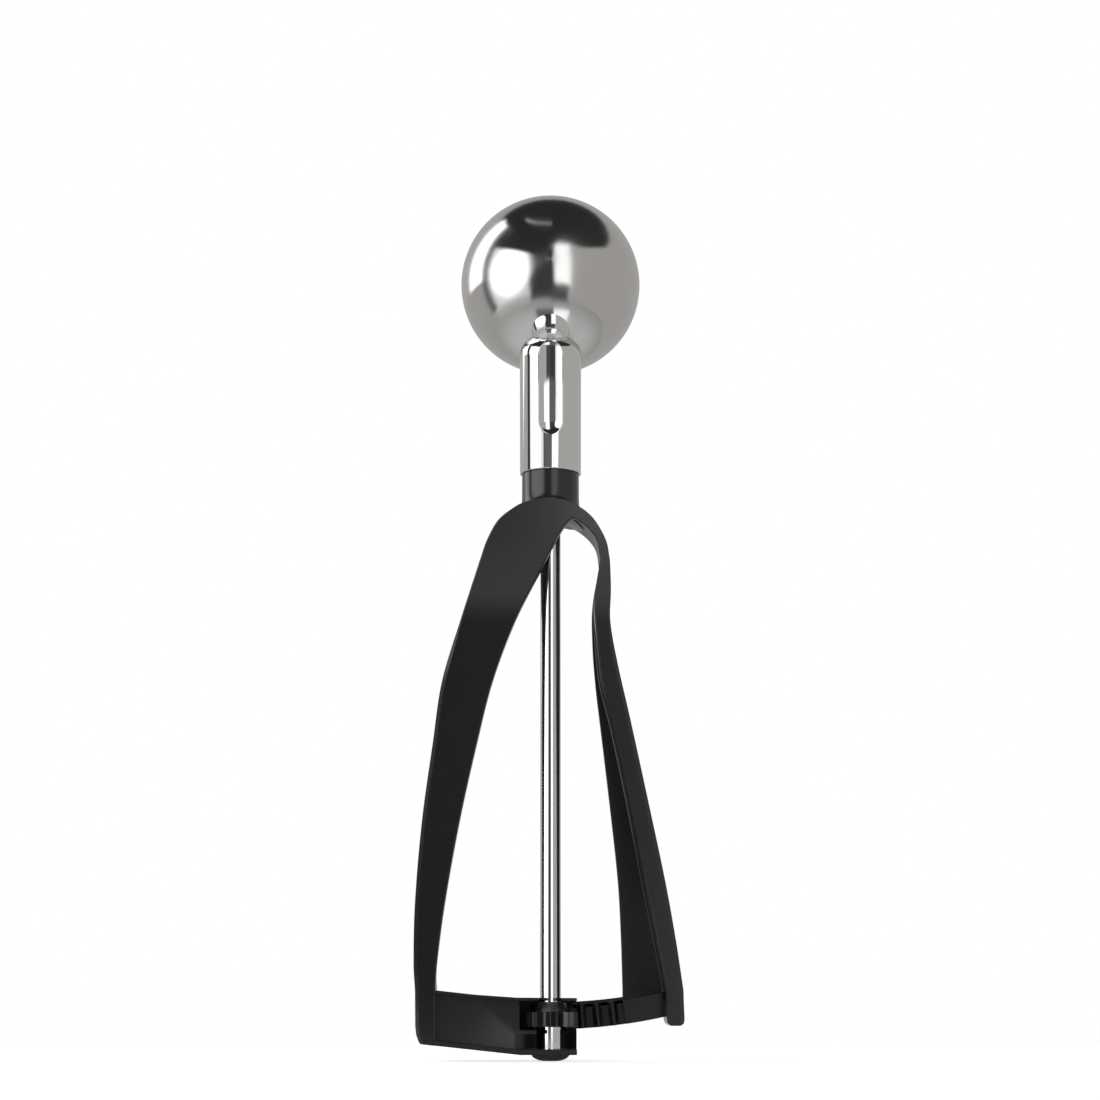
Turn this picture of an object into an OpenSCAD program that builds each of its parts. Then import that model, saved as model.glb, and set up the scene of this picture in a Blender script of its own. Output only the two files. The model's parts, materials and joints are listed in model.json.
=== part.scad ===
// Lever ice cream scoop: a spun bowl on a chromed ferrule, a sprung bow handle, and a rod that
// turns the scraper blade in the bowl when the handle is squeezed. Millimetres, +Z up the rod.
// The rod's axis is the Z axis, and the bowl opens towards +Y.

/* [Bowl] */
// Outer diameter of the bowl
bowl_d = 44.5; // [40:0.5:60]
// Thickness of the bowl's wall
bowl_wall = 0.8; // [0.6:0.1:1.2]
// How far the wall runs on past the rod's axis, to the rim
bowl_skirt = 5; // [4.5:0.5:7]

/* [Scraper blade] */
// Width of the blade
blade_w = 9; // [6:0.5:12]
// Thickness of the blade
blade_t = 0.7; // [0.5:0.1:1]
// Gap between the blade and the bowl's wall
blade_gap = 0.35; // [0.3:0.05:0.6]
// Angle of the parked blade round the rod, from +X
blade_park = 195; // [193:1:200]
// Diameter of the pivot pin at the bowl's tip
tip_pin_d = 2.5; // [2:0.1:3]

/* [Ferrule] */
// Outer diameter of the ferrule
ferrule_d = 15; // [14.5:0.1:16]
// Thickness of the ferrule's wall
ferrule_wall = 0.5; // [0.4:0.1:0.8]
// Length of the ferrule, from its lower rim to the bottom of the bowl
ferrule_len = 26; // [24:0.5:34]
// Lean of the ferrule's back wall, which carries its nose over the bowl's back
nose_lean = 17; // [15:0.5:18]
// Width of the pressed flute
flute_w = 5.8; // [4:0.2:7]
// Depth of the pressed flute at its middle
flute_depth = 1.5; // [1:0.1:2]
// Height of the flute's lower end up the leaning wall
flute_low = 14.2; // [12:0.1:18]
// Diameter of the small boss where the nose is joined to the bowl
boss_d = 9.2; // [8:0.2:10]
// Height of that boss over the bowl's wall
boss_h = 2; // [1:0.1:3]
// How far down the bowl's back the boss sits, from the back pole
boss_down = 46.5; // [45:0.5:50]

/* [Spindle] */
// Diameter of the rod
rod_d = 4.5; // [4:0.1:5]
// Running clearance round the rod and the pivot pin, on the radius
run_gap = 0.05; // [0.03:0.01:0.1]
// Outer diameter of the bush under the bowl
bush_d = 7; // [6.5:0.1:8]
// Length of the bush below its seat in the ferrule
bush_tail = 3; // [2:0.5:5]
// Width of the square end of the rod that drives the blade
tang_w = 2.9; // [2.4:0.1:3]

/* [Drive] */
// Module of the rack and pinion
gear_module = 1.2; // [1.1:0.05:1.25]
// Teeth on the pinion
pinion_teeth = 9; // [9:1:10]
// Height of the pinion's teeth along the rod
pinion_h = 3.5; // [3:0.1:4]
// Height of the tapered hub above the teeth
hub_h = 2.3; // [1.8:0.1:2.4]
// Thickness of the hub round the rod at its top
hub_wall = 1.1; // [0.6:0.1:1.4]
// Height of the rack bar
rack_h = 5.8; // [5:0.1:6]
// Height of the ledge along the top of the rack bar
rack_ledge = 0.6; // [0.4:0.1:0.6]
// Thickness of the bar behind the rack's teeth
rack_back = 1.6; // [1.2:0.1:1.8]
// Play between the teeth, on each side of a tooth
tooth_play = 0.22; // [0.15:0.01:0.3]
// Teeth on the rack
rack_teeth = 6; // [6:1:6]

/* [Handle] */
// Depth of the crown and of the top of the arms, front to back
handle_depth = 15; // [14:0.5:18]
// Depth that the arms gain towards the base, at the side that the bowl opens to
base_gain = 2.5; // [2.5:0.1:4]
// Length of the arms, between the base and the crown
grip_len = 102.4; // [95:0.1:120]
// Height of the crown
crown_h = 15.6; // [15.6:0.1:18]
// Length of the collar that shows between the crown and the ferrule
collar_len = 7; // [5:0.5:12]
// Length of the spigot inside the ferrule
spigot_len = 10; // [6:0.5:12]
// Thickness of the arms' outer wall
arm_wall = 4.5; // [4:0.1:4.8]
// Thickness of the arms' flanges
arm_flange = 3.5; // [2.5:0.1:4.5]
// Bevel along the arms' outer edges
arm_bevel = 0.9; // [0.5:0.1:1.2]
// Gap at the split that stands for the flexing waist
waist_gap = 0.1; // [0.06:0.02:0.2]

/* [Base] */
// Diameter of the bearing cap under the base
cap_d = 9; // [8.5:0.1:10]
// Height of that cap
cap_h = 1.5; // [1.4:0.1:2]
// Diameter of the flat in the middle of the cap's dome
cap_flat_d = 3.4; // [2:0.1:5]
// Height of the base at the rod
base_h = 13.1; // [13.1:0.1:16]
// Thickness of the base's floor
floor_t = 1.3; // [1.1:0.1:1.8]
// Thickness of the base's roof
roof_t = 0.7; // [0.6:0.1:1]
// Thickness of the base's side walls
wall_t = 1.4; // [1.2:0.1:1.8]
// How far the base runs past the rod
base_overhang = 6.2; // [5.5:0.1:7]
// How far the base's panel is set back from its edges
panel_recess = 1.5; // [0.8:0.1:2]

/* [Hidden] */
$fn = 96;
eps = 0.01;
big = 200;

// Levels up the rod, from the flat under the bearing cap
rod_r = rod_d / 2;
floor_z = cap_h;
floor_top = floor_z + floor_t;
roof_top = floor_z + base_h;
arm_z0 = roof_top + 1.8;
crown_z0 = arm_z0 + grip_len;
crown_top = crown_z0 + crown_h;
ferrule_z0 = crown_top + collar_len;
bowl_r = bowl_d / 2;
bowl_in_r = bowl_r - bowl_wall;
bowl_z = ferrule_z0 + ferrule_len + bowl_r + 0.05;

// The handle, seen along Y: half its depth in front of the rod and half behind it
front_y = -handle_depth / 2;
back_y = handle_depth / 2;
base_back_y = back_y + base_gain;
collar_r = ferrule_d / 2 - ferrule_wall;

// The rack and pinion. The lever turns about a Y axis through the rod at the crown's top.
pitch_r = gear_module * pinion_teeth / 2;
pinion_tip_r = pitch_r + gear_module;
pinion_z = roof_top - 0.9 - hub_h - pinion_h;
mesh_r = crown_top - (pinion_z + pinion_h / 2);
tooth_angle = 360 * (pitch_r / mesh_r) / pinion_teeth;
rack_low_r = mesh_r + 2.4;
rack_high_r = rack_low_r - rack_h;
tooth_half = PI * gear_module / 4 - tooth_play;
rack_tip_y = pitch_r - 0.92 * gear_module;
rack_root_y = pitch_r + 1.1 * gear_module;
rack_back_y = rack_root_y + rack_back;
flank = tan(20);
waist_r = 14.4;
foot_x = 27.2;
foot_low = 8.2;

// Distance of an arm's edge from the rod at a share of the way up the arm
palm_outer = [[0, 31.8], [0.06, 32.2], [0.2, 32], [0.39, 30.5], [0.57, 28.1], [0.715, 26],
              [0.86, 21.6], [1, 17.1]];
palm_inner = [[0, 27], [0.06, 26.7], [0.2, 24.9], [0.39, 21.5], [0.57, 17.5], [0.715, 13.8],
              [0.86, 8.3], [1, 1.1]];
squeeze_outer = [[0, 31.2], [0.115, 29.5], [0.25, 27.1], [0.435, 23.2], [0.62, 19.2], [0.762, 16],
                 [0.857, 14.4], [0.93, 14.6], [1, 14.4]];
squeeze_inner = [[0, 27.2], [0.115, 25.1], [0.25, 22.3], [0.435, 18.7], [0.62, 14.7], [0.715, 12.3],
                 [0.81, 11.2], [0.905, 10.6], [1, 12]];
squeeze_cup = [[0, 9.9], [0.115, 8.1], [0.25, 6], [0.435, 4.4], [0.62, 2.6], [0.715, 1.3],
               [0.81, 0.9], [0.905, 0.3], [1, 0.15]];

// Outline of the crown over the arms' top ends, as X and height
crown_left = [[-17.1, 0], [-15.4, 5], [-12.7, 9.9], [-8.9, 13.2], [-7, crown_h]];
crown_right = [[7, crown_h], [8, 12.8], [10.8, 9.9], [13.6, 5], [14.4, 0]];
crown_arch = [[12, 0], [11.3, 4.5], [9.3, 7.6], [6.9, 9.8], [5.4, 9.9], [3.1, 8], [1.1, 4.5],
              [-1.1, 0]];

// Outline of the base's roof and floor, as X and height above the level part
roof_line = [[base_overhang, 0], [-8, 0.1], [-18, 0.8], [-27, 1.8]];
floor_left = -30.5;
floor_line = [[base_overhang, 0], [-7, 0], [floor_left, 2.5]];
base_left = -31.8;
panel_left = -27;
window_left = -7.3;

// The round pocket in front of the rod, in the block under the rack
pocket_x = 1.5;
pocket_r = 8;

// Smooth value of a table of [place, value] rows
function row_at(t, u, i = 0) = i >= len(t) - 2 || u < t[i + 1][0] ? i : row_at(t, u, i + 1);
function row_slope(t, i) =
    let (a = max(i - 1, 0), b = min(i + 1, len(t) - 1))
    (t[b][1] - t[a][1]) / (t[b][0] - t[a][0]);
function smooth_at(t, u) =
    let (i = row_at(t, u), w = t[i + 1][0] - t[i][0], s = (u - t[i][0]) / w)
    let (h00 = 2 * s ^ 3 - 3 * s ^ 2 + 1, h10 = s ^ 3 - 2 * s ^ 2 + s)
    let (h01 = 3 * s ^ 2 - 2 * s ^ 3, h11 = s ^ 3 - s ^ 2)
    h00 * t[i][1] + h10 * w * row_slope(t, i) + h01 * t[i + 1][1] + h11 * w * row_slope(t, i + 1);

// A smooth path through the points p, with n steps between each two
function near_point(p, i) = p[min(max(i, 0), len(p) - 1)];
function path_point(p, i, t) =
    let (a = near_point(p, i - 1), b = p[i], c = near_point(p, i + 1), d = near_point(p, i + 2))
    0.5 * (2 * b + (c - a) * t + (2 * a - 5 * b + 4 * c - d) * t ^ 2
           + (3 * b - a - 3 * c + d) * t ^ 3);
function smooth_path(p, n) =
    [for (i = [0:len(p) - 2]) each [for (k = [0:n - 1]) path_point(p, i, k / n)], p[len(p) - 1]];

function backwards(line) = [for (i = [len(line) - 1:-1:0]) line[i]];
function ease(t) = let (c = min(max(t, 0), 1)) c * c * (3 - 2 * c);
function back_at(u) = back_y + base_gain * ease(1 - u / 0.55);

// Share of the way up from which the palm arm closes into the solid crown
solid_from = 0.86;

// Section of an arm: a wall along its outer edge, a flange along one face, and a hollow between
// them that is a quarter of a rounded rectangle. x0 is the outer edge, wall_x the wall's inner
// face, tip_x the flange's edge. near is the face with the flange and far the face without.
hollow_steps = 8;
function signed_pow(v, p) = pow(max(v, 0), p);
function arm_section(x0, wall_x, tip_x, near, far, z) =
    let (s = sign(tip_x - x0), d = sign(far - near), b = arm_bevel)
    let (fy = near + d * arm_flange, a = tip_x - wall_x, h = far - fy)
    [
        [x0, near + d * b, z],
        [x0 + s * b, near, z],
        [tip_x - s * 0.5, near, z],
        [tip_x, near + d * 0.5, z],
        for (k = [0:hollow_steps])
            let (q = 90 * k / hollow_steps)
            [tip_x - a * signed_pow(sin(q), 0.6), far - h * signed_pow(cos(q), 0.6), z],
        [wall_x - s * 0.3, far, z],
        [x0 + s * b, far, z],
        [x0, far - d * b, z]
    ];

module loft(rings) {
    n = len(rings[0]);
    m = len(rings);
    polyhedron(
        points = [for (r = rings) each r],
        faces = [
            [for (i = [0:n - 1]) i],
            for (j = [0:m - 2], i = [0:n - 1])
                let (k = (i + 1) % n)
                each [[j * n + i, (j + 1) * n + k, j * n + k],
                      [j * n + i, (j + 1) * n + i, (j + 1) * n + k]],
            [for (i = [n - 1:-1:0]) (m - 1) * n + i]
        ],
        convexity = 6);
}

// A plate with an XZ outline, between two values of Y
module plate_xz(y0, y1) {
    translate([0, y1, 0])
        rotate([90, 0, 0])
            linear_extrude(y1 - y0) children();
}

module rod_hole(z0, z1, r = rod_r + run_gap) {
    translate([0, 0, z0 - eps])
        cylinder(h = z1 - z0 + 2 * eps, r = r);
}

// A ball about the bowl's centre, with its poles on the Y axis, clear of the holes
module bowl_ball(r) {
    translate([0, 0, bowl_z])
        rotate([90, 0, 0])
            sphere(r);
}

// ---- Bowl and blade ----

module bowl() {
    color("gainsboro")
        difference() {
            bowl_ball(bowl_r);
            bowl_ball(bowl_in_r);
            translate([-big / 2, bowl_skirt, bowl_z - big / 2])
                cube(big);
            rod_hole(bowl_z - bowl_r - 1, bowl_z - bowl_in_r + 1, bush_d / 2);
            rod_hole(bowl_z + bowl_in_r - 1, bowl_z + bowl_r + 1, tip_pin_d / 2);
        }
}

blade_out_r = bowl_in_r - blade_gap;
blade_in_r = blade_out_r - blade_t;
ear_r = blade_w / 2 - 0.3;
ear_out = sqrt(blade_out_r ^ 2 - ear_r ^ 2);
ear_in = ear_out - 0.6;
washer_t = 0.5;

module scraper_blade() {
    color("silver")
        translate([0, 0, bowl_z])
            rotate([0, 0, blade_park])
                difference() {
                    union() {
                        intersection() {
                            difference() {
                                sphere(blade_out_r);
                                sphere(blade_in_r);
                            }
                            union() {
                                translate([0, -blade_w / 2, -bowl_r])
                                    cube([bowl_r, blade_w, 2 * bowl_r]);
                                cylinder(h = 2 * bowl_r, r = blade_w / 2, center = true);
                            }
                        }
                        for (z = [-ear_out, ear_in])
                            translate([0, 0, z])
                                cylinder(h = ear_out - ear_in, r = ear_r);
                    }
                    translate([0, 0, -bowl_r])
                        linear_extrude(bowl_r - ear_in + 2)
                            square(tang_w, center = true);
                    translate([0, 0, ear_in - 2])
                        cylinder(h = bowl_r, r = tip_pin_d / 2 + run_gap);
                }
}

module blade_washer() {
    color("silver")
        translate([0, 0, bowl_z - ear_in])
            difference() {
                cylinder(h = washer_t, r = tang_w / sqrt(2) + 1.1);
                translate([0, 0, -eps])
                    cylinder(h = washer_t + 2 * eps, r = tang_w / sqrt(2) + 0.02);
            }
}

tip_washer_top = ear_in - 0.15;

module tip_rivet() {
    head_r = tip_pin_d / 2 + 1;
    head_ball = 4;
    color("silver")
        translate([0, 0, bowl_z]) {
            translate([0, 0, tip_washer_top - washer_t - 0.6])
                cylinder(h = bowl_r + 0.3 - (tip_washer_top - washer_t - 0.6), r = tip_pin_d / 2);
            translate([0, 0, tip_washer_top - washer_t - 0.7])
                cylinder(h = 0.7, r = tip_pin_d / 2 + 0.5);
            difference() {
                intersection() {
                    translate([0, 0, bowl_r + 0.85 - head_ball])
                        sphere(head_ball);
                    cylinder(h = big, r = head_r);
                }
                sphere(bowl_r);
            }
        }
}

module tip_washer() {
    color("silver")
        translate([0, 0, bowl_z + tip_washer_top - washer_t])
            difference() {
                cylinder(h = washer_t, r = tip_pin_d / 2 + 1.3);
                translate([0, 0, -eps])
                    cylinder(h = washer_t + 2 * eps, r = tip_pin_d / 2);
            }
}

// ---- Ferrule ----

cradle_t = 1;
ferrule_r = ferrule_d / 2;
seat_t = 1.2;
straight_top = bowl_z - bowl_r - 2;
bore_top = straight_top - seat_t;
nose_len = 29.5;
// The flute runs out on the nose's round end, below the boss
flute_high = nose_len + 2;
// The tube's own curve takes part of the flute's depth, and an arc over its width the rest
flute_sag = flute_depth - (ferrule_r - sqrt(ferrule_r ^ 2 - (flute_w / 2) ^ 2));
flute_r = ((flute_w / 2) ^ 2 + flute_sag ^ 2) / (2 * flute_sag);

// A straight tube up to top, blended into a leaning one with a round end. An inset of 0 gives the
// outer form, and an inset of the wall's thickness gives the hollow.
module ferrule_form(inset, top) {
    r = ferrule_r - inset;
    translate([0, 0, ferrule_z0])
        intersection() {
            hull() {
                cylinder(h = top - ferrule_z0, r = r, $fn = 48);
                rotate([nose_lean, 0, 0]) {
                    translate([0, 0, 1])
                        cylinder(h = nose_len - 1, r = r, $fn = 48);
                    translate([0, 0, nose_len])
                        sphere(r, $fn = 48);
                }
            }
            translate([-big / 2, -big / 2, 0])
                cube(big);
        }
}

// The pressed groove down the nose, or its bulge inside when it is grown by the wall
module flute(grow) {
    translate([0, 0, ferrule_z0])
        rotate([nose_lean, 0, 0])
            translate([0, -(ferrule_r - flute_depth + flute_r), 0]) {
                translate([0, 0, flute_low])
                    cylinder(h = flute_high - flute_low, r = flute_r + grow);
                for (z = [flute_low, flute_high])
                    translate([0, 0, z])
                        sphere(flute_r + grow - 0.02);
            }
}

// The dome where the nose ends on the bowl's back
module nose_boss() {
    // The ball through the boss's top and its edge on the bowl
    rise = bowl_r + boss_h - sqrt(bowl_r ^ 2 - (boss_d / 2) ^ 2);
    ball = ((boss_d / 2) ^ 2 + rise ^ 2) / (2 * rise);
    translate([0, 0, bowl_z])
        rotate([boss_down, 0, 0])
            translate([0, -(bowl_r + boss_h - ball), 0])
                sphere(ball);
}

module ferrule() {
    color("silver")
        difference() {
            union() {
                ferrule_form(0, straight_top);
                nose_boss();
            }
            bowl_ball(bowl_r);
            difference() {
                ferrule_form(ferrule_wall, bore_top);
                bowl_ball(bowl_r + cradle_t);
                flute(ferrule_wall);
            }
            flute(0);
            rod_hole(ferrule_z0 - 1, ferrule_z0 + spigot_len + 1, collar_r);
            rod_hole(bore_top - 1, bowl_z, bush_d / 2);
        }
}

module bowl_bush() {
    top = bowl_z - bowl_in_r + 0.05;
    color("goldenrod")
        difference() {
            union() {
                translate([0, 0, bore_top - bush_tail])
                    cylinder(h = top - bore_top + bush_tail, r = bush_d / 2);
                translate([0, 0, bore_top - 1])
                    cylinder(h = 1, r = bush_d / 2 + 1.4);
            }
            rod_hole(bore_top - bush_tail, top);
        }
}

// ---- Spindle ----

module spindle_rod() {
    low = cap_h * 0.5;
    shoulder = bowl_z - blade_out_r - 0.02;
    head_z = bowl_z - ear_in + washer_t;
    head_h = 1;
    head_ball = ((tang_w / 2 + 1) ^ 2 + head_h ^ 2) / (2 * head_h);
    color("gainsboro") {
        translate([0, 0, low])
            cylinder(h = shoulder - low, r = rod_r);
        translate([-tang_w / 2, -tang_w / 2, shoulder - eps])
            cube([tang_w, tang_w, head_z - shoulder + 0.3]);
        difference() {
            translate([0, 0, head_z + head_h - head_ball])
                sphere(head_ball);
            translate([-big / 2, -big / 2, head_z - big])
                cube(big);
        }
    }
}

// One pinion tooth, pointing along +X
module pinion_tooth() {
    root_r = pitch_r - 1.15 * gear_module;
    root_half = tooth_half + (pitch_r - root_r) * 0.2;
    tip_half = tooth_half - gear_module * 0.42;
    polygon([[0, -root_half], [root_r, -root_half], [pitch_r, -tooth_half],
             [pinion_tip_r - 0.2, -tip_half], [pinion_tip_r, -tip_half + 0.15],
             [pinion_tip_r, tip_half - 0.15], [pinion_tip_r - 0.2, tip_half],
             [pitch_r, tooth_half], [root_r, root_half], [0, root_half]]);
}

module pinion() {
    root_r = pitch_r - 1.15 * gear_module;
    color("dimgray")
        difference() {
            translate([0, 0, pinion_z]) {
                linear_extrude(pinion_h) {
                    circle(root_r);
                    for (i = [0:pinion_teeth - 1])
                        rotate(90 + 360 * (i + 0.5) / pinion_teeth)
                            pinion_tooth();
                }
                translate([0, 0, pinion_h - eps])
                    cylinder(h = hub_h + eps, r1 = root_r, r2 = rod_r + hub_wall, $fn = 12);
            }
            rod_hole(pinion_z, pinion_z + pinion_h + hub_h, rod_r);
        }
}

// ---- Handle ----

module handle_collar() {
    color([0.1, 0.1, 0.1])
        difference() {
            translate([0, 0, crown_top])
                cylinder(h = collar_len + spigot_len, r = collar_r);
            rod_hole(crown_top, ferrule_z0 + spigot_len);
        }
}

module crown_outline() {
    translate([0, crown_z0])
        polygon(concat(smooth_path(crown_left, 5), smooth_path(crown_right, 5),
                       smooth_path(crown_arch, 4)));
}

// The part of the XZ plane that moves with the lever, outside a circle about its pivot
module lever_side(r) {
    difference() {
        translate([6, crown_z0 - 5])
            square([20, crown_h + 5]);
        translate([0, crown_top])
            circle(r);
    }
}

module handle_crown() {
    color([0.1, 0.1, 0.1])
        difference() {
            plate_xz(front_y, back_y)
                difference() {
                    crown_outline();
                    lever_side(waist_r - waist_gap);
                }
            rod_hole(crown_z0, crown_top);
        }
}

module palm_arm() {
    n = 40;
    color([0.1, 0.1, 0.1])
        difference() {
            loft([for (i = [0:n])
                let (u = i / n, x0 = -smooth_at(palm_outer, u), x1 = -smooth_at(palm_inner, u))
                let (full = x1 - x0 - 0.3, wall = min(arm_wall, full))
                arm_section(x0, x0 + wall + (full - wall) * ease((u - solid_from) / (1 - solid_from)),
                            x1, front_y, back_at(u), arm_z0 + grip_len * u)]);
            rod_hole(arm_z0 + grip_len * solid_from, crown_z0);
        }
}

// ---- Base ----

function raised(line, z) = [for (p = line) [p[0], p[1] + z]];
function layer(line, z0, z1) = concat(raised(line, z0), backwards(raised(line, z1)));

module rack_housing() {
    panel_y = front_y + panel_recess;
    block_top = pinion_z - 0.7;
    block_low = floor_z + 0.9;
    block_left = -12;
    slot_half = rod_r + 0.3;
    color([0.1, 0.1, 0.1])
        difference() {
            union() {
                plate_xz(front_y, base_back_y) {
                    polygon(layer(roof_line, roof_top - roof_t, roof_top));
                    polygon(layer(floor_line, floor_z, floor_top));
                    // The foot of the palm arm
                    polygon([[floor_left, floor_z + 2.5], [panel_left, floor_z + 2.1],
                             [panel_left, arm_z0], [base_left, arm_z0],
                             [base_left + 0.2, floor_z + 5.2]]);
                }
                // The panel in front and the wall behind the rack
                plate_xz(panel_y, panel_y + wall_t)
                    polygon(panel_outline(window_left));
                plate_xz(base_back_y - wall_t, base_back_y)
                    polygon(panel_outline(base_overhang));
                // The block behind the rod, under the rack
                difference() {
                    plate_xz(panel_y, base_back_y - wall_t + eps)
                        polygon([[block_left, block_low], [base_overhang, block_low],
                                 [base_overhang, block_top], [block_left, block_top]]);
                    translate([pocket_x, front_y + 3, 0])
                        cylinder(h = block_top + 1, r = pocket_r);
                }
            }
            rod_hole(floor_z, floor_top, rod_r + 0.8);
            rod_hole(roof_top - roof_t - 1, roof_top + 1, slot_half);
            // The slot through which the rod goes in from the front
            translate([-slot_half, front_y - 1, roof_top - roof_t - 1])
                cube([2 * slot_half, 1 - front_y, roof_t + 2]);
        }
}

// Outline of a wall between the floor and the roof, from the arm's foot to x
function panel_outline(x) = [
    [panel_left - eps, floor_z + 2.6], [panel_left - eps, roof_top + 1.4], [-18, roof_top + 0.4],
    [-8, roof_top - 0.3], [x, roof_top - 0.35], [x, floor_z + 0.6], [-7, floor_z + 0.6]];

module bearing_cap() {
    ball = ((cap_d / 2) ^ 2 - (cap_flat_d / 2) ^ 2 + cap_h ^ 2) / (2 * cap_h);
    dome_r = sqrt((cap_d / 2) ^ 2 + (ball - cap_h) ^ 2);
    color([0.25, 0.25, 0.25])
        difference() {
            union() {
                intersection() {
                    translate([0, 0, ball])
                        sphere(max(dome_r, sqrt(ball ^ 2 + (cap_flat_d / 2) ^ 2)));
                    cylinder(h = floor_z, r = cap_d / 2);
                }
                translate([0, 0, floor_z - eps])
                    cylinder(h = floor_t, r = rod_r + 0.8);
            }
            rod_hole(cap_h * 0.4, floor_top);
        }
}

// ---- Lever ----

module lever_root() {
    color([0.13, 0.13, 0.13])
        plate_xz(front_y, back_y)
            intersection() {
                crown_outline();
                lever_side(waist_r);
            }
}

module squeeze_arm() {
    n = 40;
    color([0.13, 0.13, 0.13])
        loft([for (i = [0:n])
            let (u = i / n, x0 = smooth_at(squeeze_outer, u), x1 = smooth_at(squeeze_inner, u))
            arm_section(x0, x1, x1 - smooth_at(squeeze_cup, u), back_at(u), front_y,
                        arm_z0 + grip_len * u)]);
}

// A sector of the ring that the rack is cut from, between two angles about the pivot
module rack_sector(a0, a1, r0, r1) {
    steps = 12;
    translate([0, crown_top])
        polygon(concat(
            [for (i = [0:steps]) let (a = a0 + (a1 - a0) * i / steps) [r1 * sin(a), -r1 * cos(a)]],
            [for (i = [steps:-1:0]) let (a = a0 + (a1 - a0) * i / steps) [r0 * sin(a), -r0 * cos(a)]]));
}

module rack() {
    first = -1;
    end_a = asin((foot_x + 0.5) / mesh_r);
    plain_a = tooth_angle * (rack_teeth - 1 - 0.3);
    // The ledge starts clear of the panel when the arm is squeezed
    ledge_a = 2.1 * tooth_angle;
    web_x = 20.9;
    web_z = arm_z0 - 2.5;
    foot_out = squeeze_outer[0][1];
    root_half = tooth_half + (rack_root_y - pitch_r) * flank;
    tip_half = tooth_half - (pitch_r - rack_tip_y) * flank;
    color([0.13, 0.13, 0.13]) {
        plate_xz(rack_root_y, rack_back_y)
            rack_sector(tooth_angle * (first - 0.4), end_a, rack_high_r, rack_low_r);
        plate_xz(rack_tip_y, rack_root_y + eps)
            rack_sector(plain_a, end_a, rack_high_r, rack_low_r);
        plate_xz(rack_root_y, rack_back_y)
            rack_sector(ledge_a, end_a, rack_high_r - rack_ledge, rack_high_r + 1);
        for (i = [first:first + rack_teeth - 1])
            translate([0, 0, crown_top])
                rotate([0, -i * tooth_angle, 0])
                    translate([0, 0, -rack_low_r])
                        linear_extrude(rack_h)
                            polygon([[-root_half, rack_root_y + eps], [-tip_half, rack_tip_y],
                                     [tip_half, rack_tip_y], [root_half, rack_root_y + eps]]);
        // The web that joins the bar to the arm's flange, and the arm's foot
        plate_xz(rack_root_y, rack_back_y)
            polygon([[web_x, web_z], [foot_x + 0.5, web_z], [foot_x + 0.5, arm_z0],
                     [web_x, arm_z0]]);
        plate_xz(front_y, base_back_y)
            polygon([[foot_x, arm_z0], [foot_x + 0.1, foot_low + 0.4], [foot_x + 0.6, foot_low],
                     [foot_out - 0.7, foot_low], [foot_out + 0.2, foot_low + 1.2],
                     [foot_out, arm_z0]]);
    }
}

bowl();
scraper_blade();
blade_washer();
tip_rivet();
tip_washer();
bowl_bush();
ferrule();
spindle_rod();
pinion();
handle_collar();
handle_crown();
palm_arm();
rack_housing();
bearing_cap();
lever_root();
squeeze_arm();
rack();
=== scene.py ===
import json
import math

import bmesh
import bpy
import numpy as np
from bpy.props import FloatProperty, FloatVectorProperty, IntProperty, PointerProperty
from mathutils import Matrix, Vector


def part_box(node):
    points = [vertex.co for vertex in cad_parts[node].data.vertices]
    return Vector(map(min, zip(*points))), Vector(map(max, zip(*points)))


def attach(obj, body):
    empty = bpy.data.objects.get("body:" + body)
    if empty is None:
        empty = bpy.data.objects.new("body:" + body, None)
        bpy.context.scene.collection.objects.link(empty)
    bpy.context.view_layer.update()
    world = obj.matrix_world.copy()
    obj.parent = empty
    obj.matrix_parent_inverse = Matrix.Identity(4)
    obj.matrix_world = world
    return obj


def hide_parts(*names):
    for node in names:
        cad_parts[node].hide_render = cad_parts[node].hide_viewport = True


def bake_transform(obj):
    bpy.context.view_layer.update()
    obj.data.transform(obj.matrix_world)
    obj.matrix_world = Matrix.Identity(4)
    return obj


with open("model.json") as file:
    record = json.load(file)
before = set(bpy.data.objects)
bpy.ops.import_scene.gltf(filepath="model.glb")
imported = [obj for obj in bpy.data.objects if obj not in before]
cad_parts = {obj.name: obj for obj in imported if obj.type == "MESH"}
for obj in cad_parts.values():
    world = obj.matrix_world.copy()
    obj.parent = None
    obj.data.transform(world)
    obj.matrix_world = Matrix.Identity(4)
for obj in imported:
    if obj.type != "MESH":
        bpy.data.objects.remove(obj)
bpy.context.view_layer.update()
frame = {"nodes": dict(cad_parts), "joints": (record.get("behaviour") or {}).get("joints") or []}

# The looks of a lever ice cream scoop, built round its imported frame. The design below is in
# millimetres, with +Z up the rod and the bowl open towards +Y. A mesh is made in metres.

bl_info = {
    "name": "Lever Ice Cream Scoop",
    "version": (1, 0, 0),
    "blender": (4, 5, 0),
    "location": "View3D > Sidebar > Scoop",
    "description": "Dresses the frame of a lever ice cream scoop",
    "category": "Add Mesh",
}

MM = 0.001
FIT = 0.02      # keeps faces that would lie in one plane apart, in millimetres


def corners(node):
    """Lowest and highest corner of a CAD node, in millimetres."""
    low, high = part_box(node)
    return np.array(low) / MM, np.array(high) / MM


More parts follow.
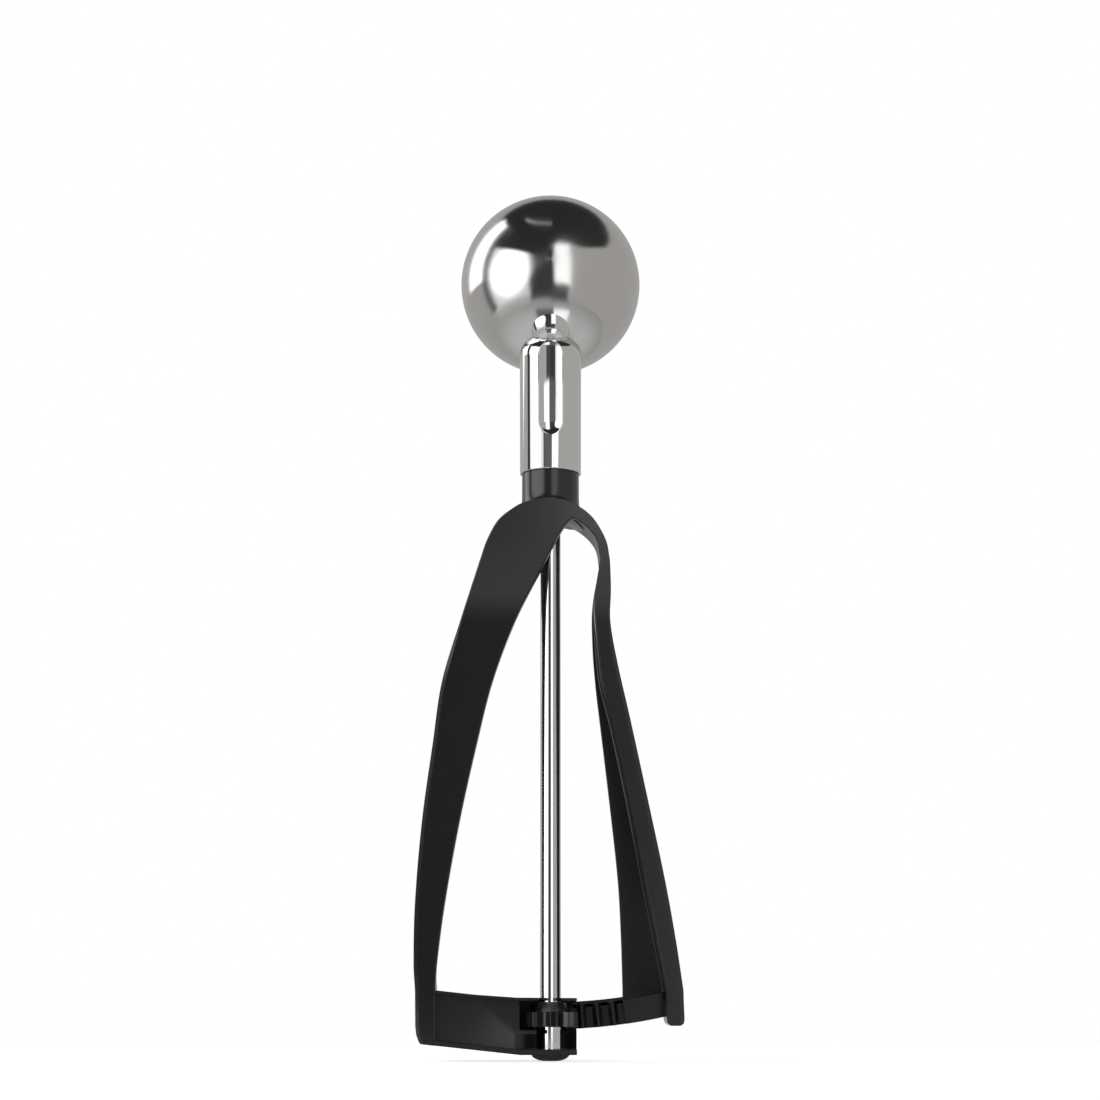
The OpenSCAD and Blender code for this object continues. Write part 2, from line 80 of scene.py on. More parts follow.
bowl_low, bowl_high = corners("bowl")
bowl_r = (bowl_high[0] - bowl_low[0]) / 2
bowl_z = (bowl_low[2] + bowl_high[2]) / 2
rim_y = bowl_high[1]
collar_low, collar_high = corners("handle_collar")
collar_r = collar_high[0]
crown_top = collar_low[2]
ferrule_low, ferrule_high = corners("ferrule")
ferrule_r = ferrule_high[0]
ferrule_z0 = ferrule_low[2]
palm_low, palm_high = corners("palm_arm")
arm_z0, crown_z0 = palm_low[2], palm_high[2]
base_low, base_high = corners("rack_housing")
front_y, base_back_y = base_low[1], base_high[1]
floor_z, base_right = base_low[2], base_high[0]
back_y = corners("handle_crown")[1][1]
pinion_low, pinion_high = corners("pinion")
rod_low, rod_high = corners("spindle_rod")
rod_r = rod_high[0]
cap_r = corners("bearing_cap")[1][0]
pivot = np.array(frame["joints"][0]["pos_m"]) / MM


# ---- Sizes and colours that a user may change ----

def length(name, default, description):
    """A length property. default is in millimetres."""
    return FloatProperty(name=name, default=default * MM, min=0.0, precision=5, unit="LENGTH",
                         description=description)


def colour(name, default, description):
    return FloatVectorProperty(name=name, default=default, subtype="COLOR", min=0.0, max=1.0,
                               description=description)


def share(name, default, description):
    return FloatProperty(name=name, default=default, min=0.0, max=1.0, subtype="FACTOR",
                         description=description)


class ScoopBowl(bpy.types.PropertyGroup):
    """The spun bowl"""
    wall: length("Wall", 0.8, "Thickness of the bowl's wall")
    bush_hole: length("Bush hole", 7, "Diameter of the hole for the bush")
    pin_hole: length("Pin hole", 2.5, "Diameter of the hole for the pivot pin")
    segments: IntProperty(name="Segments", default=192, min=32, description="Steps round the bowl")
    steel: colour("Steel", (0.62, 0.61, 0.6), "Colour of the spun steel")
    gloss: share("Roughness", 0.13, "Roughness of the polished steel")


class ScoopFerrule(bpy.types.PropertyGroup):
    """The ferrule with its leaning nose, flute and boss"""
    nose_len: length("Nose length", 29.5, "Length of the leaning wall, to the nose's centre")
    nose_end: length("Nose end", 6.2, "Height of the nose's round end above its centre")
    lean: FloatProperty(name="Lean", default=math.radians(17), subtype="ANGLE",
                        description="Lean of the wall that carries the nose")
    back_top: length("Back top", 20.6, "Height of the back wall's round top above the lower rim")
    flute_w: length("Flute width", 5.8, "Width of the pressed flute")
    flute_depth: length("Flute depth", 1.5, "Depth of the flute at its middle")
    flute_low: length("Flute start", 14.2, "Height of the flute's lower end up the leaning wall")
    boss_d: length("Boss", 9.2, "Diameter of the boss on the bowl's back")
    boss_h: length("Boss height", 2, "Height of the boss over the bowl")
    boss_down: FloatProperty(name="Boss place", default=math.radians(46.5), subtype="ANGLE",
                             description="How far down the bowl's back the boss sits")
    chrome: colour("Chrome", (0.72, 0.71, 0.7), "Colour of the chromed ferrule and the rod")


class ScoopHandle(bpy.types.PropertyGroup):
    """The bow handle"""
    wall: length("Wall", 4.5, "Thickness of the arms' outer wall")
    flange: length("Flange", 3.5, "Thickness of the arms' flanges")
    bevel: length("Bevel", 0.9, "Bevel along the arms' outer edges")
    edge: length("Edge", 0.25, "Rounding of the moulding's sharp edges")
    plastic: colour("Plastic", (0.017, 0.017, 0.0173), "Colour of the arms and the base")
    # Painted light: a lighter tone on the crown, standing in for the light that its front catches
    crown: colour("Crown", (0.028, 0.028, 0.029), "Colour of the crown")


class ScoopDrive(bpy.types.PropertyGroup):
    """The pinion and the rack"""
    module: length("Module", 1.2, "Module of the rack and pinion")
    teeth: IntProperty(name="Pinion teeth", default=9, min=6, description="Teeth on the pinion")
    rack_teeth: IntProperty(name="Rack teeth", default=6, min=2, description="Teeth on the rack")
    width: length("Pinion width", 3.5, "Height of the pinion's teeth along the rod")
    play: length("Play", 0.22, "Play on each side of a tooth")
    rack_h: length("Rack height", 5.8, "Height of the rack bar")
    rack_ledge: length("Rack ledge", 0.6, "Height of the ledge along the top of the bar")
    rack_back: length("Rack back", 1.6, "Thickness of the bar behind the teeth")
    pinion_grey: colour("Pinion", (0.016, 0.016, 0.017), "Colour of the pinion's teeth")
    hub_wall: length("Hub wall", 1.1, "Thickness of the hub round the rod at its top")
    hub_grey: colour("Hub", (0.035, 0.035, 0.036), "Colour of the pinion's hub")


class ScoopBase(bpy.types.PropertyGroup):
    """The base and the bearing cap"""
    floor: length("Floor", 1.3, "Thickness of the base's floor")
    roof: length("Roof", 0.7, "Thickness of the base's roof")
    wall: length("Wall", 1.4, "Thickness of the base's side walls")
    recess: length("Recess", 1.5, "How far the panel is set back")
    cap_flat: length("Cap flat", 3.4, "Diameter of the flat under the bearing cap")
    cap_grey: colour("Cap", (0.1, 0.1, 0.102), "Colour of the bearing cap")


class ScoopStage(bpy.types.PropertyGroup):
    """The camera and the light"""
    lens: FloatProperty(name="Lens", default=80.2, unit="CAMERA",
                        description="Focal length on a sensor 36 mm wide")
    eye_z: length("Eye height", 14.2, "Height of the camera over the floor")
    distance: length("Distance", 590.5, "Distance of the camera from the rod")
    pitch: FloatProperty(name="Pitch", default=math.radians(10.4), subtype="ANGLE",
                         description="How far the camera looks up")
    window: FloatProperty(name="Window", default=1.7, min=0.0,
                          description="Light of the narrow window in front")
    softbox: FloatProperty(name="Softboxes", default=2.6, min=0.0,
                           description="Strength of the bright cards")
    wall: FloatProperty(name="Walls", default=0.49, min=0.0,
                        description="Strength of the grey walls")


GROUPS = {"scoop_bowl": ScoopBowl, "scoop_ferrule": ScoopFerrule, "scoop_handle": ScoopHandle,
          "scoop_drive": ScoopDrive, "scoop_base": ScoopBase, "scoop_stage": ScoopStage}


# ---- Outlines ----

def rounded(path, radius, steps=4, closed=True):
    """A 2D path with its corners turned into small curves."""
    path = [np.array(p, float) for p in path]
    count = len(path)
    made = []
    for i, p in enumerate(path):
        if not closed and i in (0, count - 1):
            made.append(p)
            continue
        a, b = path[i - 1] - p, path[(i + 1) % count] - p
        reach = min(radius, 0.45 * np.linalg.norm(a), 0.45 * np.linalg.norm(b))
        start, end = p + a / np.linalg.norm(a) * reach, p + b / np.linalg.norm(b) * reach
        for k in range(steps + 1):
            t = k / steps
            made.append((1 - t) ** 2 * start + 2 * t * (1 - t) * p + t ** 2 * end)
    return made


def arc(radius, first, last, steps, centre=(0.0, 0.0)):
    """Points on an arc, with angles in radians from the second axis's negative side."""
    return [(centre[0] + radius * math.sin(a), centre[1] - radius * math.cos(a))
            for a in np.linspace(first, last, steps + 1)]


def smooth_value(rows, u):
    """Smooth value of a table of (place, value) rows."""
    rows = np.array(rows, float)
    i = int(np.clip(np.searchsorted(rows[:, 0], u, side="right") - 1, 0, len(rows) - 2))

    def slope(k):
        a, b = rows[max(k - 1, 0)], rows[min(k + 1, len(rows) - 1)]
        return (b[1] - a[1]) / (b[0] - a[0])

    width = rows[i + 1, 0] - rows[i, 0]
    s = (u - rows[i, 0]) / width
    return ((2 * s ** 3 - 3 * s ** 2 + 1) * rows[i, 1] + (s ** 3 - 2 * s ** 2 + s) * width * slope(i)
            + (3 * s ** 2 - 2 * s ** 3) * rows[i + 1, 1] + (s ** 3 - s ** 2) * width * slope(i + 1))


def smooth_path(points, steps=16):
    """A smooth path through 2D points."""
    p = np.array(points, float)
    p = np.vstack([2 * p[0] - p[1], p, 2 * p[-1] - p[-2]])
    made = []
    for i in range(1, len(p) - 2):
        a, b, c, d = p[i - 1:i + 3]
        for t in np.arange(steps) / steps:
            made.append(0.5 * (2 * b + (c - a) * t + (2 * a - 5 * b + 4 * c - d) * t ** 2
                               + (3 * b - a - 3 * c + d) * t ** 3))
    made.append(p[-2])
    return np.array(made)


def along(path, t):
    """The point of a path at a share t of its length."""
    steps = np.linalg.norm(np.diff(path, axis=0), axis=1)
    place = np.concatenate([[0], np.cumsum(steps)]) / steps.sum()
    return np.array([np.interp(t, place, path[:, 0]), np.interp(t, place, path[:, 1])])


def ease(t):
    """A smooth step: 0 up to t = 0 and 1 from t = 1 on."""
    t = min(max(t, 0.0), 1.0)
    return t * t * (3 - 2 * t)


# ---- Meshes ----

def new_piece(name, points, faces, material):
    """A new object with its mesh, from points in millimetres."""
    mesh = bpy.data.meshes.new(name)
    mesh.from_pydata((np.asarray(points, float) * MM).tolist(), [], [list(f) for f in faces])
    mesh.materials.append(material)
    piece = bpy.data.objects.new(name, mesh)
    bpy.context.scene.collection.objects.link(piece)
    return piece


def joined(shells):
    """Points and faces of several shells as one."""
    points, faces = [], []
    for shell_points, shell_faces in shells:
        start = len(points)
        points.extend(np.asarray(shell_points, float).tolist())
        faces.extend([[start + i for i in face] for face in shell_faces])
    return points, faces


def loft(rings):
    """A closed skin over rings of points."""
    n = len(rings[0])
    points = [p for ring in rings for p in ring]
    faces = [[j * n + i, j * n + (i + 1) % n, (j + 1) * n + (i + 1) % n, (j + 1) * n + i]
             for j in range(len(rings) - 1) for i in range(n)]
    faces.append(list(range(n))[::-1])
    faces.append([(len(rings) - 1) * n + i for i in range(n)])
    return points, faces


def plate(outline, y0, y1):
    """A plate with an XZ outline, between two values of Y."""
    return loft([[(x, y, z) for x, z in outline] for y in (y0, y1)])


def make_plain(piece):
    """Turns what the modifiers make into a plain mesh."""
    graph = bpy.context.evaluated_depsgraph_get()
    shaped = bpy.data.meshes.new_from_object(piece.evaluated_get(graph))
    rough = piece.data
    piece.modifiers.clear()
    piece.data = shaped
    bpy.data.meshes.remove(rough)
    shaped.name = piece.name


def face_outwards(piece):
    """Merges doubles and turns the faces of closed shells outwards."""
    work = bmesh.new()
    work.from_mesh(piece.data)
    bmesh.ops.remove_doubles(work, verts=work.verts, dist=1e-7)
    bmesh.ops.recalc_face_normals(work, faces=work.faces)
    work.to_mesh(piece.data)
    work.free()


def shade(piece, sharp=35):
    """Smooth shading that keeps flats flat and edges sharper than an angle in degrees sharp."""
    piece.data.shade_smooth()
    piece.data.set_sharp_from_angle(angle=math.radians(sharp))
    weighted = piece.modifiers.new("flats", "WEIGHTED_NORMAL")
    weighted.keep_sharp = True
    weighted.weight = 100
    make_plain(piece)


def soften_edges(piece, width, sharp=30, segments=3):
    """Rounds the sharp edges and keeps the flats flat."""
    face_outwards(piece)
    piece.data.shade_smooth()
    bevel = piece.modifiers.new("edges", "BEVEL")
    bevel.width = width * MM
    bevel.segments = segments
    bevel.limit_method = "ANGLE"
    bevel.angle_limit = math.radians(sharp)
    bevel.harden_normals = True
    bevel.use_clamp_overlap = True
    make_plain(piece)


def cut_shape(piece, points, faces):
    """Cuts a closed shape out of a piece."""
    tool = new_piece("tool", points, faces, piece.data.materials[0])
    face_outwards(tool)
    cut = piece.modifiers.new("cut", "BOOLEAN")
    cut.operation = "DIFFERENCE"
    cut.solver = "EXACT"
    cut.object = tool
    make_plain(piece)
    bpy.data.objects.remove(tool)


def box_shape(low, high):
    """Points and faces of a box between its lowest and its highest corner."""
    (x0, y0, z0), (x1, y1, z1) = low, high
    return loft([[(x0, y0, z), (x1, y0, z), (x1, y1, z), (x0, y1, z)] for z in (z0, z1)])


def join(pieces):
    """Joins pieces into the first of them."""
    with bpy.context.temp_override(active_object=pieces[0], selected_editable_objects=pieces):
        bpy.ops.object.join()


def surface_net(field, low, high, cell):
    """Points and quads on the zero level of a field of distances, negative inside. Each grid
    edge that the surface crosses gives a quad over the four cells round it, and each such cell
    a point at the mean of its crossings."""
    low = np.array(low, float)
    counts = np.ceil((np.array(high) - low) / cell).astype(int) + 1
    nodes = low + cell * np.moveaxis(np.indices(counts), 0, -1)
    value = field(nodes)
    total, hits, quads = np.zeros((*counts, 3)), np.zeros(counts), []
    for axis in range(3):
        step, u, v = np.eye(3, dtype=int)[[axis, (axis + 1) % 3, (axis + 2) % 3]]
        first = value[tuple(slice(0, c - s) for c, s in zip(counts, step))]
        second = value[tuple(slice(s, c) for c, s in zip(counts, step))]
        edge = np.argwhere((first < 0) != (second < 0))
        a, b = value[tuple(edge.T)], value[tuple((edge + step).T)]
        point = nodes[tuple(edge.T)] + step * (cell * a / (a - b))[:, None]
        around = [edge - p * u - q * v for p, q in ((0, 0), (1, 0), (1, 1), (0, 1))]
        for cells in around:
            np.add.at(total, tuple(cells.T), point)
            np.add.at(hits, tuple(cells.T), 1)
        quad = np.stack([np.ravel_multi_index(tuple(c.T), counts) for c in around], -1)
        quad[a > 0] = quad[a > 0][:, ::-1]
        quads.append(quad)
    used = hits > 0
    points = total[used] / hits[used][:, None]
    number = np.cumsum(used.ravel()) - 1
    for _ in range(3):      # brings the averaged points onto the zero level
        slope = gradient(field, points)
        points -= (field(points) / (slope ** 2).sum(-1))[:, None] * slope
    return points, number[np.vstack(quads)]


def gradient(field, points, reach=0.01):
    """The slope of a field at some points."""
    return np.stack([(field(points + e) - field(points - e)) / (2 * reach)
                     for e in np.eye(3) * reach], -1)


def smooth_min(a, b, k):
    """The lesser of two fields, with a fillet of about k where they meet."""
    h = np.clip(0.5 + 0.5 * (b - a) / k, 0, 1)
    return b * (1 - h) + a * h - k * h * (1 - h)


def smooth_max(a, b, k):
    return -smooth_min(-a, -b, k)


# ---- Node trees ----

def add(tree, kind, inputs=None, **settings):
    """A new node. inputs gives each socket a value, or another node's output to link."""
    node = tree.nodes.new(kind)
    for key, value in settings.items():
        setattr(node, key, value)
    for socket, value in (inputs or {}).items():
        if isinstance(value, bpy.types.NodeSocket):
            tree.links.new(value, node.inputs[socket])
        else:
            node.inputs[socket].default_value = value
    return node


def maths(tree, operation, *values):
    return add(tree, "ShaderNodeMath", dict(enumerate(values)), operation=operation).outputs[0]


def vector_maths(tree, operation, *values):
    node = add(tree, "ShaderNodeVectorMath", dict(enumerate(values)), operation=operation)
    return node.outputs["Value" if operation in ("LENGTH", "DOT_PRODUCT") else "Vector"]


def shape_tree(name, sockets):
    """A new geometry tree with named inputs. Returns it, its group input and its identifiers."""
    tree = bpy.data.node_groups.new(name, "GeometryNodeTree")
    tree.interface.new_socket("Geometry", in_out="OUTPUT", socket_type="NodeSocketGeometry")
    tree.interface.new_socket("Geometry", in_out="INPUT", socket_type="NodeSocketGeometry")
    names = {}
    for socket, kind in sockets.items():
        made = tree.interface.new_socket(socket, in_out="INPUT", socket_type=f"NodeSocket{kind}")
        names[socket] = made.identifier
    return tree, tree.nodes.new("NodeGroupInput"), names


def end_tree(tree, given, geometry):
    """Ends a geometry tree in Realize Instances and Set Material."""
    real = add(tree, "GeometryNodeRealizeInstances", {"Geometry": geometry})
    coat = add(tree, "GeometryNodeSetMaterial",
               {"Geometry": real.outputs[0], "Material": given.outputs["Material"]})
    add(tree, "NodeGroupOutput", {"Geometry": coat.outputs[0]})


def lathe_tree():
    """Turns a piece's points, in their order, round an axis through a centre."""
    tree, given, names = shape_tree("turned_shape", {
        "Segments": "Int", "Axis": "Vector", "Centre": "Vector", "Material": "Material"})
    profile = given.outputs["Geometry"]
    size = add(tree, "GeometryNodeAttributeDomainSize", {"Geometry": profile})
    columns = maths(tree, "ADD", given.outputs["Segments"], 1.0)
    grid = add(tree, "GeometryNodeMeshGrid", {"Vertices X": size.outputs["Point Count"],
                                              "Vertices Y": columns})
    index = add(tree, "GeometryNodeInputIndex").outputs[0]
    row = maths(tree, "FLOOR", maths(tree, "DIVIDE", index, columns))
    column = maths(tree, "SUBTRACT", index, maths(tree, "MULTIPLY", row, columns))
    angle = maths(tree, "MULTIPLY", column,
                  maths(tree, "DIVIDE", math.tau, given.outputs["Segments"]))
    place = add(tree, "GeometryNodeInputPosition").outputs[0]
    sample = add(tree, "GeometryNodeSampleIndex", {"Geometry": profile}, data_type="FLOAT_VECTOR")
    tree.links.new(place, sample.inputs["Value"])
    tree.links.new(row, sample.inputs["Index"])
    turn = add(tree, "ShaderNodeVectorRotate", {
        "Vector": sample.outputs[0], "Center": given.outputs["Centre"],
        "Axis": given.outputs["Axis"], "Angle": angle}, rotation_type="AXIS_ANGLE")
    moved = add(tree, "GeometryNodeSetPosition",
                {"Geometry": grid.outputs["Mesh"], "Position": turn.outputs[0]})
    whole = add(tree, "GeometryNodeMergeByDistance",
                {"Geometry": moved.outputs[0], "Distance": 1e-7})
    end_tree(tree, given, whole.outputs[0])
    return tree, names


def tooth_tree():
    """Repeats a piece, made about the origin, at even angles round an axis through a pivot."""
    tree, given, names = shape_tree("toothed_shape", {
        "Count": "Int", "First Angle": "Float", "Step Angle": "Float", "Axis": "Vector",
        "Pivot": "Vector", "Material": "Material"})
    points = add(tree, "GeometryNodePoints", {"Count": given.outputs["Count"],
                                              "Position": given.outputs["Pivot"]})
    index = add(tree, "GeometryNodeInputIndex").outputs[0]
    angle = maths(tree, "MULTIPLY_ADD", index, given.outputs["Step Angle"],
                  given.outputs["First Angle"])
    turn = add(tree, "FunctionNodeAxisAngleToRotation",
               {"Axis": given.outputs["Axis"], "Angle": angle})
    copies = add(tree, "GeometryNodeInstanceOnPoints", {
        "Points": points.outputs[0], "Instance": given.outputs["Geometry"],
        "Rotation": turn.outputs[0]})
    real = add(tree, "GeometryNodeRealizeInstances", {"Geometry": copies.outputs[0]})
    whole = add(tree, "GeometryNodeMergeByDistance",
                {"Geometry": real.outputs[0], "Distance": 2e-6})
    end_tree(tree, given, whole.outputs[0])
    return tree, names


def run_tree(piece, made_tree, values):
    """Runs a geometry tree on a piece and keeps the result as its plain mesh."""
    tree, names = made_tree
    modifier = piece.modifiers.new(tree.name, "NODES")
    modifier.node_group = tree
    for socket, value in values.items():
        modifier[names[socket]] = value
    make_plain(piece)
    face_outwards(piece)


def turned(name, profile, material, segments=96, axis=(0, 0, 1), centre=(0, 0, 0), sharp=35):
    """A piece turned on the lathe from a profile of 3D points in a plane through the axis."""
    piece = new_piece(name, profile, [], material)
    run_tree(piece, lathe_tree(), {
        "Segments": segments, "Axis": axis, "Centre": Vector(centre) * MM, "Material": material})
    shade(piece, sharp)
    return piece


def radial(points):
    """A profile of (radius, height) rows as 3D points for an upright axis."""
    return [(r, 0, z) for r, z in points]


# ---- Finishes ----

def finish_of(name, colour, metallic, roughness):
    """A new material, its node tree and its Principled shader."""
    material = bpy.data.materials.new(name)
    material.use_nodes = True
    shader = material.node_tree.nodes["Principled BSDF"]
    shader.inputs["Base Color"].default_value = (*colour, 1.0)
    shader.inputs["Metallic"].default_value = metallic
    shader.inputs["Roughness"].default_value = roughness
    return material, material.node_tree, shader


def object_place(tree, scale=(1, 1, 1), centre=(0, 0, 0)):
    """Object coordinates from a centre in millimetres, scaled per metre."""
    place = add(tree, "ShaderNodeTexCoord").outputs["Object"]
    moved = vector_maths(tree, "SUBTRACT", place, Vector(centre) * MM)
    return vector_maths(tree, "MULTIPLY", moved, scale)


def noise(tree, vector, scale, detail=2.0, roughness=0.5):
    return add(tree, "ShaderNodeTexNoise", {"Vector": vector, "Scale": scale, "Detail": detail,
                                            "Roughness": roughness}).outputs["Fac"]


def spread(tree, value, low, high):
    """Maps a value from 0..1 to low..high."""
    return add(tree, "ShaderNodeMapRange", {"Value": value, "To Min": low, "To Max": high}).outputs[0]


def bump(tree, shader, height, strength, distance):
    """Adds bumps of a height in millimetres to a shader."""
    node = add(tree, "ShaderNodeBump", {"Height": height, "Strength": strength,
                                        "Distance": distance * MM})
    tree.links.new(node.outputs[0], shader.inputs["Normal"])


def spun_steel(sizes):
    """Polished steel with a fine lathe grain in circles round the bowl's pole."""
    material, tree, shader = finish_of("spun_steel", sizes.steel, 1.0, sizes.gloss)
    axis = (0.0, 1.0, 0.0)
    rings_per_radian = 90.0
    place = object_place(tree, centre=(0, 0, bowl_z))
    parts = add(tree, "ShaderNodeSeparateXYZ", {0: place}).outputs
    across = maths(tree, "SQRT", maths(tree, "ADD", maths(tree, "MULTIPLY", parts[0], parts[0]),
                                       maths(tree, "MULTIPLY", parts[2], parts[2])))
    latitude = maths(tree, "ARCTAN2", across, maths(tree, "MULTIPLY", parts[1], -1.0))
    round_angle = maths(tree, "ARCTAN2", parts[0], parts[2])
    grain_place = add(tree, "ShaderNodeCombineXYZ", {
        0: maths(tree, "MULTIPLY", latitude, rings_per_radian), 1: maths(tree, "SINE", round_angle),
        2: maths(tree, "COSINE", round_angle)}).outputs[0]
    grain = noise(tree, grain_place, 1.6, 5.0, 0.62)
    tree.links.new(spread(tree, grain, sizes.gloss * 0.8, sizes.gloss * 1.2),
                   shader.inputs["Roughness"])
    shader.inputs["Anisotropic"].default_value = 0.9
    normal = add(tree, "ShaderNodeNewGeometry").outputs["Normal"]
    ring = vector_maths(tree, "CROSS_PRODUCT", axis, normal)
    meridian = vector_maths(tree, "CROSS_PRODUCT", normal, ring)
    tree.links.new(meridian, shader.inputs["Tangent"])
    bump(tree, shader, grain, 0.12, 0.012)
    return material


def drawn_chrome(name, colour, roughness):
    """Bright metal with faint marks along its length."""
    material, tree, shader = finish_of(name, colour, 1.0, roughness)
    lines = noise(tree, object_place(tree, (900, 900, 28)), 1.0, 3.0)
    tree.links.new(spread(tree, lines, roughness * 0.6, roughness * 1.6), shader.inputs["Roughness"])
    waves = noise(tree, object_place(tree, (220, 220, 24)), 1.0, 1.0)
    bump(tree, shader, waves, 0.12, 0.02)
    return material


def satin_sheet(name, colour, roughness=0.24):
    """Sheet steel with a satin grain."""
    material, tree, shader = finish_of(name, colour, 1.0, roughness)
    grain = noise(tree, object_place(tree, (300, 2600, 300)), 1.0, 4.0)
    tree.links.new(spread(tree, grain, roughness * 0.7, roughness * 1.4), shader.inputs["Roughness"])
    bump(tree, shader, grain, 0.1, 0.01)
    return material


def turned_brass():
    """Brass with fine turning marks round the rod's axis."""
    material, tree, shader = finish_of("turned_brass", (0.72, 0.56, 0.28), 1.0, 0.25)
    rings = noise(tree, object_place(tree, (500, 500, 4000)), 1.0, 3.0)
    tree.links.new(spread(tree, rings, 0.18, 0.34), shader.inputs["Roughness"])
    return material


# How far below the crown's foot its painted lighter tone, which stands in for the light the crown
# catches, and its roughness start to show, and show in full
CROWN_LIGHT_FADE = (16, 7)


def steps_up(tree, value, low, high):
    """0 at one length in millimetres and 1 at another, with a smooth step between."""
    return add(tree, "ShaderNodeMapRange", {
        "Value": value, "From Min": low * MM, "From Max": high * MM},
        interpolation_type="SMOOTHSTEP").outputs[0]


def moulded(name, colour, roughness, crown_painted_light=None, crown_roughness=None):
    """Moulded plastic: a fine even grain and slow changes of gloss. The crown, above the arms, may
    have its own roughness and a lighter painted tone, which stands in for the light the crown
    catches."""
    material, tree, shader = finish_of(name, colour, 0.0, roughness)
    place = object_place(tree)
    fine = noise(tree, place, 2600.0, 3.0, 0.6)
    slow = noise(tree, place, 55.0, 3.0)
    gain = spread(tree, slow, 0.92, 1.08)
    if crown_painted_light:
        # Painted light: the crown's lighter tone, faded in over its foot
        z = add(tree, "ShaderNodeSeparateXYZ", {0: place}).outputs[2]
        lit_crown_mask = steps_up(tree, z, crown_z0 - CROWN_LIGHT_FADE[0], crown_z0 - CROWN_LIGHT_FADE[1])
        roughness = spread(tree, lit_crown_mask, roughness, crown_roughness)
        tone = add(tree, "ShaderNodeMix", {0: lit_crown_mask, 6: (*colour, 1.0), 7: (*crown_painted_light, 1.0)},
                   data_type="RGBA").outputs[2]
        tree.links.new(tone, shader.inputs["Base Color"])
    tree.links.new(maths(tree, "MULTIPLY", gain, roughness), shader.inputs["Roughness"])
    bump(tree, shader, fine, 0.04, 0.02)
    return material


def paint_recess_shade(material, low, high):
    """Paints shade into a plastic's faces within a box in millimetres, where light hardly reaches: a
    near-black painted tone and little gloss stand in for the shade there."""
    tree = material.node_tree
    shader = next(node for node in tree.nodes if node.type == "BSDF_PRINCIPLED")
    axes = add(tree, "ShaderNodeSeparateXYZ", {0: object_place(tree)}).outputs
    shade_edge_widths = (1.5, 1.6, 0.2)
    # Painted shade: inside the box the plastic gets a near-black tone and little gloss
    gloss, painted_shade_gloss, painted_shade_tone = 0.5, 0.06, 0.003
    inside = 1.0
    for value, start, stop, soft in zip(axes, low, high, shade_edge_widths):
        for edge, way in ((start, 1), (stop, -1)):
            inside = maths(tree, "MULTIPLY", inside,
                           steps_up(tree, value, edge, edge + way * soft))
    tree.links.new(spread(tree, inside, gloss, painted_shade_gloss), shader.inputs["Specular IOR Level"])
    tone = add(tree, "ShaderNodeMix", {
        0: inside, 6: shader.inputs["Base Color"].default_value[:], 7: (*[painted_shade_tone] * 3, 1.0)},
        data_type="RGBA").outputs[2]
    tree.links.new(tone, shader.inputs["Base Color"])


def paint(node, material):
    """Gives a CAD node that stays in sight its finish."""
    mesh = frame["nodes"][node].data
    mesh.materials.clear()
    mesh.materials.append(material)


# ---- Bowl ----

def true_normals(piece, centre, radii):
    """Gives faces on balls about a centre the ball's own normals."""
    shade(piece)
    mesh = piece.data
    place = np.zeros(len(mesh.vertices) * 3)
    mesh.vertices.foreach_get("co", place)
    place = place.reshape(-1, 3) / MM - centre
    distance = np.linalg.norm(place, axis=1)
    normals = np.zeros(len(mesh.loops) * 3)
    mesh.corner_normals.foreach_get("vector", normals)
    normals = normals.reshape(-1, 3)
    for face in mesh.polygons:
        ids = list(face.vertices)
        for radius in radii:
            if np.abs(distance[ids] - radius).max() < 1e-3:
                out = place[ids] / distance[ids][:, None]
                sign = np.sign(out.mean(0) @ np.array(face.normal))
                normals[list(face.loop_indices)] = out * sign
    mesh.normals_split_custom_set(normals.tolist())


def cut_hole(piece, radius, z0, z1):
    """Drills an upright hole on the rod's axis."""
    ring = [(radius * math.cos(a), radius * math.sin(a)) for a in np.linspace(0, math.tau, 65)[:-1]]
    cut_shape(piece, *loft([[(x, y, z) for x, y in ring] for z in (z0, z1)]))


def build_bowl(sizes):
    """The bowl: a ball's shell with a flat rim, and holes for the bush and the pivot pin."""
    wall = sizes.wall / MM
    inner_r = bowl_r - wall
    rim_out = math.sqrt(bowl_r ** 2 - rim_y ** 2)
    rim_in = math.sqrt(inner_r ** 2 - rim_y ** 2)
    lip, lip_round, steps = 0.25, 0.2, 84
    outer_end = math.pi / 2 + math.asin((rim_y - lip) / bowl_r)
    inner_end = math.pi / 2 + math.asin((rim_y - lip) / inner_r)
    rim = rounded([(rim_out, rim_y - lip), (rim_out, rim_y), (rim_in, rim_y), (rim_in, rim_y - lip)],
                  lip_round, closed=False)[1:-1]
    profile = (arc(bowl_r, 0, outer_end, steps) + [tuple(p) for p in rim]
               + arc(inner_r, 0, inner_end, steps)[::-1])
    material = spun_steel(sizes)
    piece = turned("bowl_shell", [(s, y, bowl_z) for s, y in profile], material, sizes.segments,
                   axis=(0, 1, 0), centre=(0, 0, bowl_z))
    over, into = 2, 4
    cut_hole(piece, sizes.bush_hole / MM / 2, bowl_z - bowl_r - over, bowl_z - bowl_r + into)
    cut_hole(piece, sizes.pin_hole / MM / 2, bowl_z + bowl_r - into, bowl_z + bowl_r + over)
    true_normals(piece, np.array([0, 0, bowl_z]), (bowl_r, inner_r))
    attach(piece, "frame")
    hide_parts("bowl")


# ---- Ferrule ----

# Fillets round the boss, along the flute, at the lower rim and at the bore
BOSS_FILLET, FLUTE_EDGE, RIM_EDGE, BORE_EDGE = 0.35, 0.14, 0.15, 0.1
SEAT_DEPTH = 0.35       # how far the ferrule's seat goes into the bowl's wall


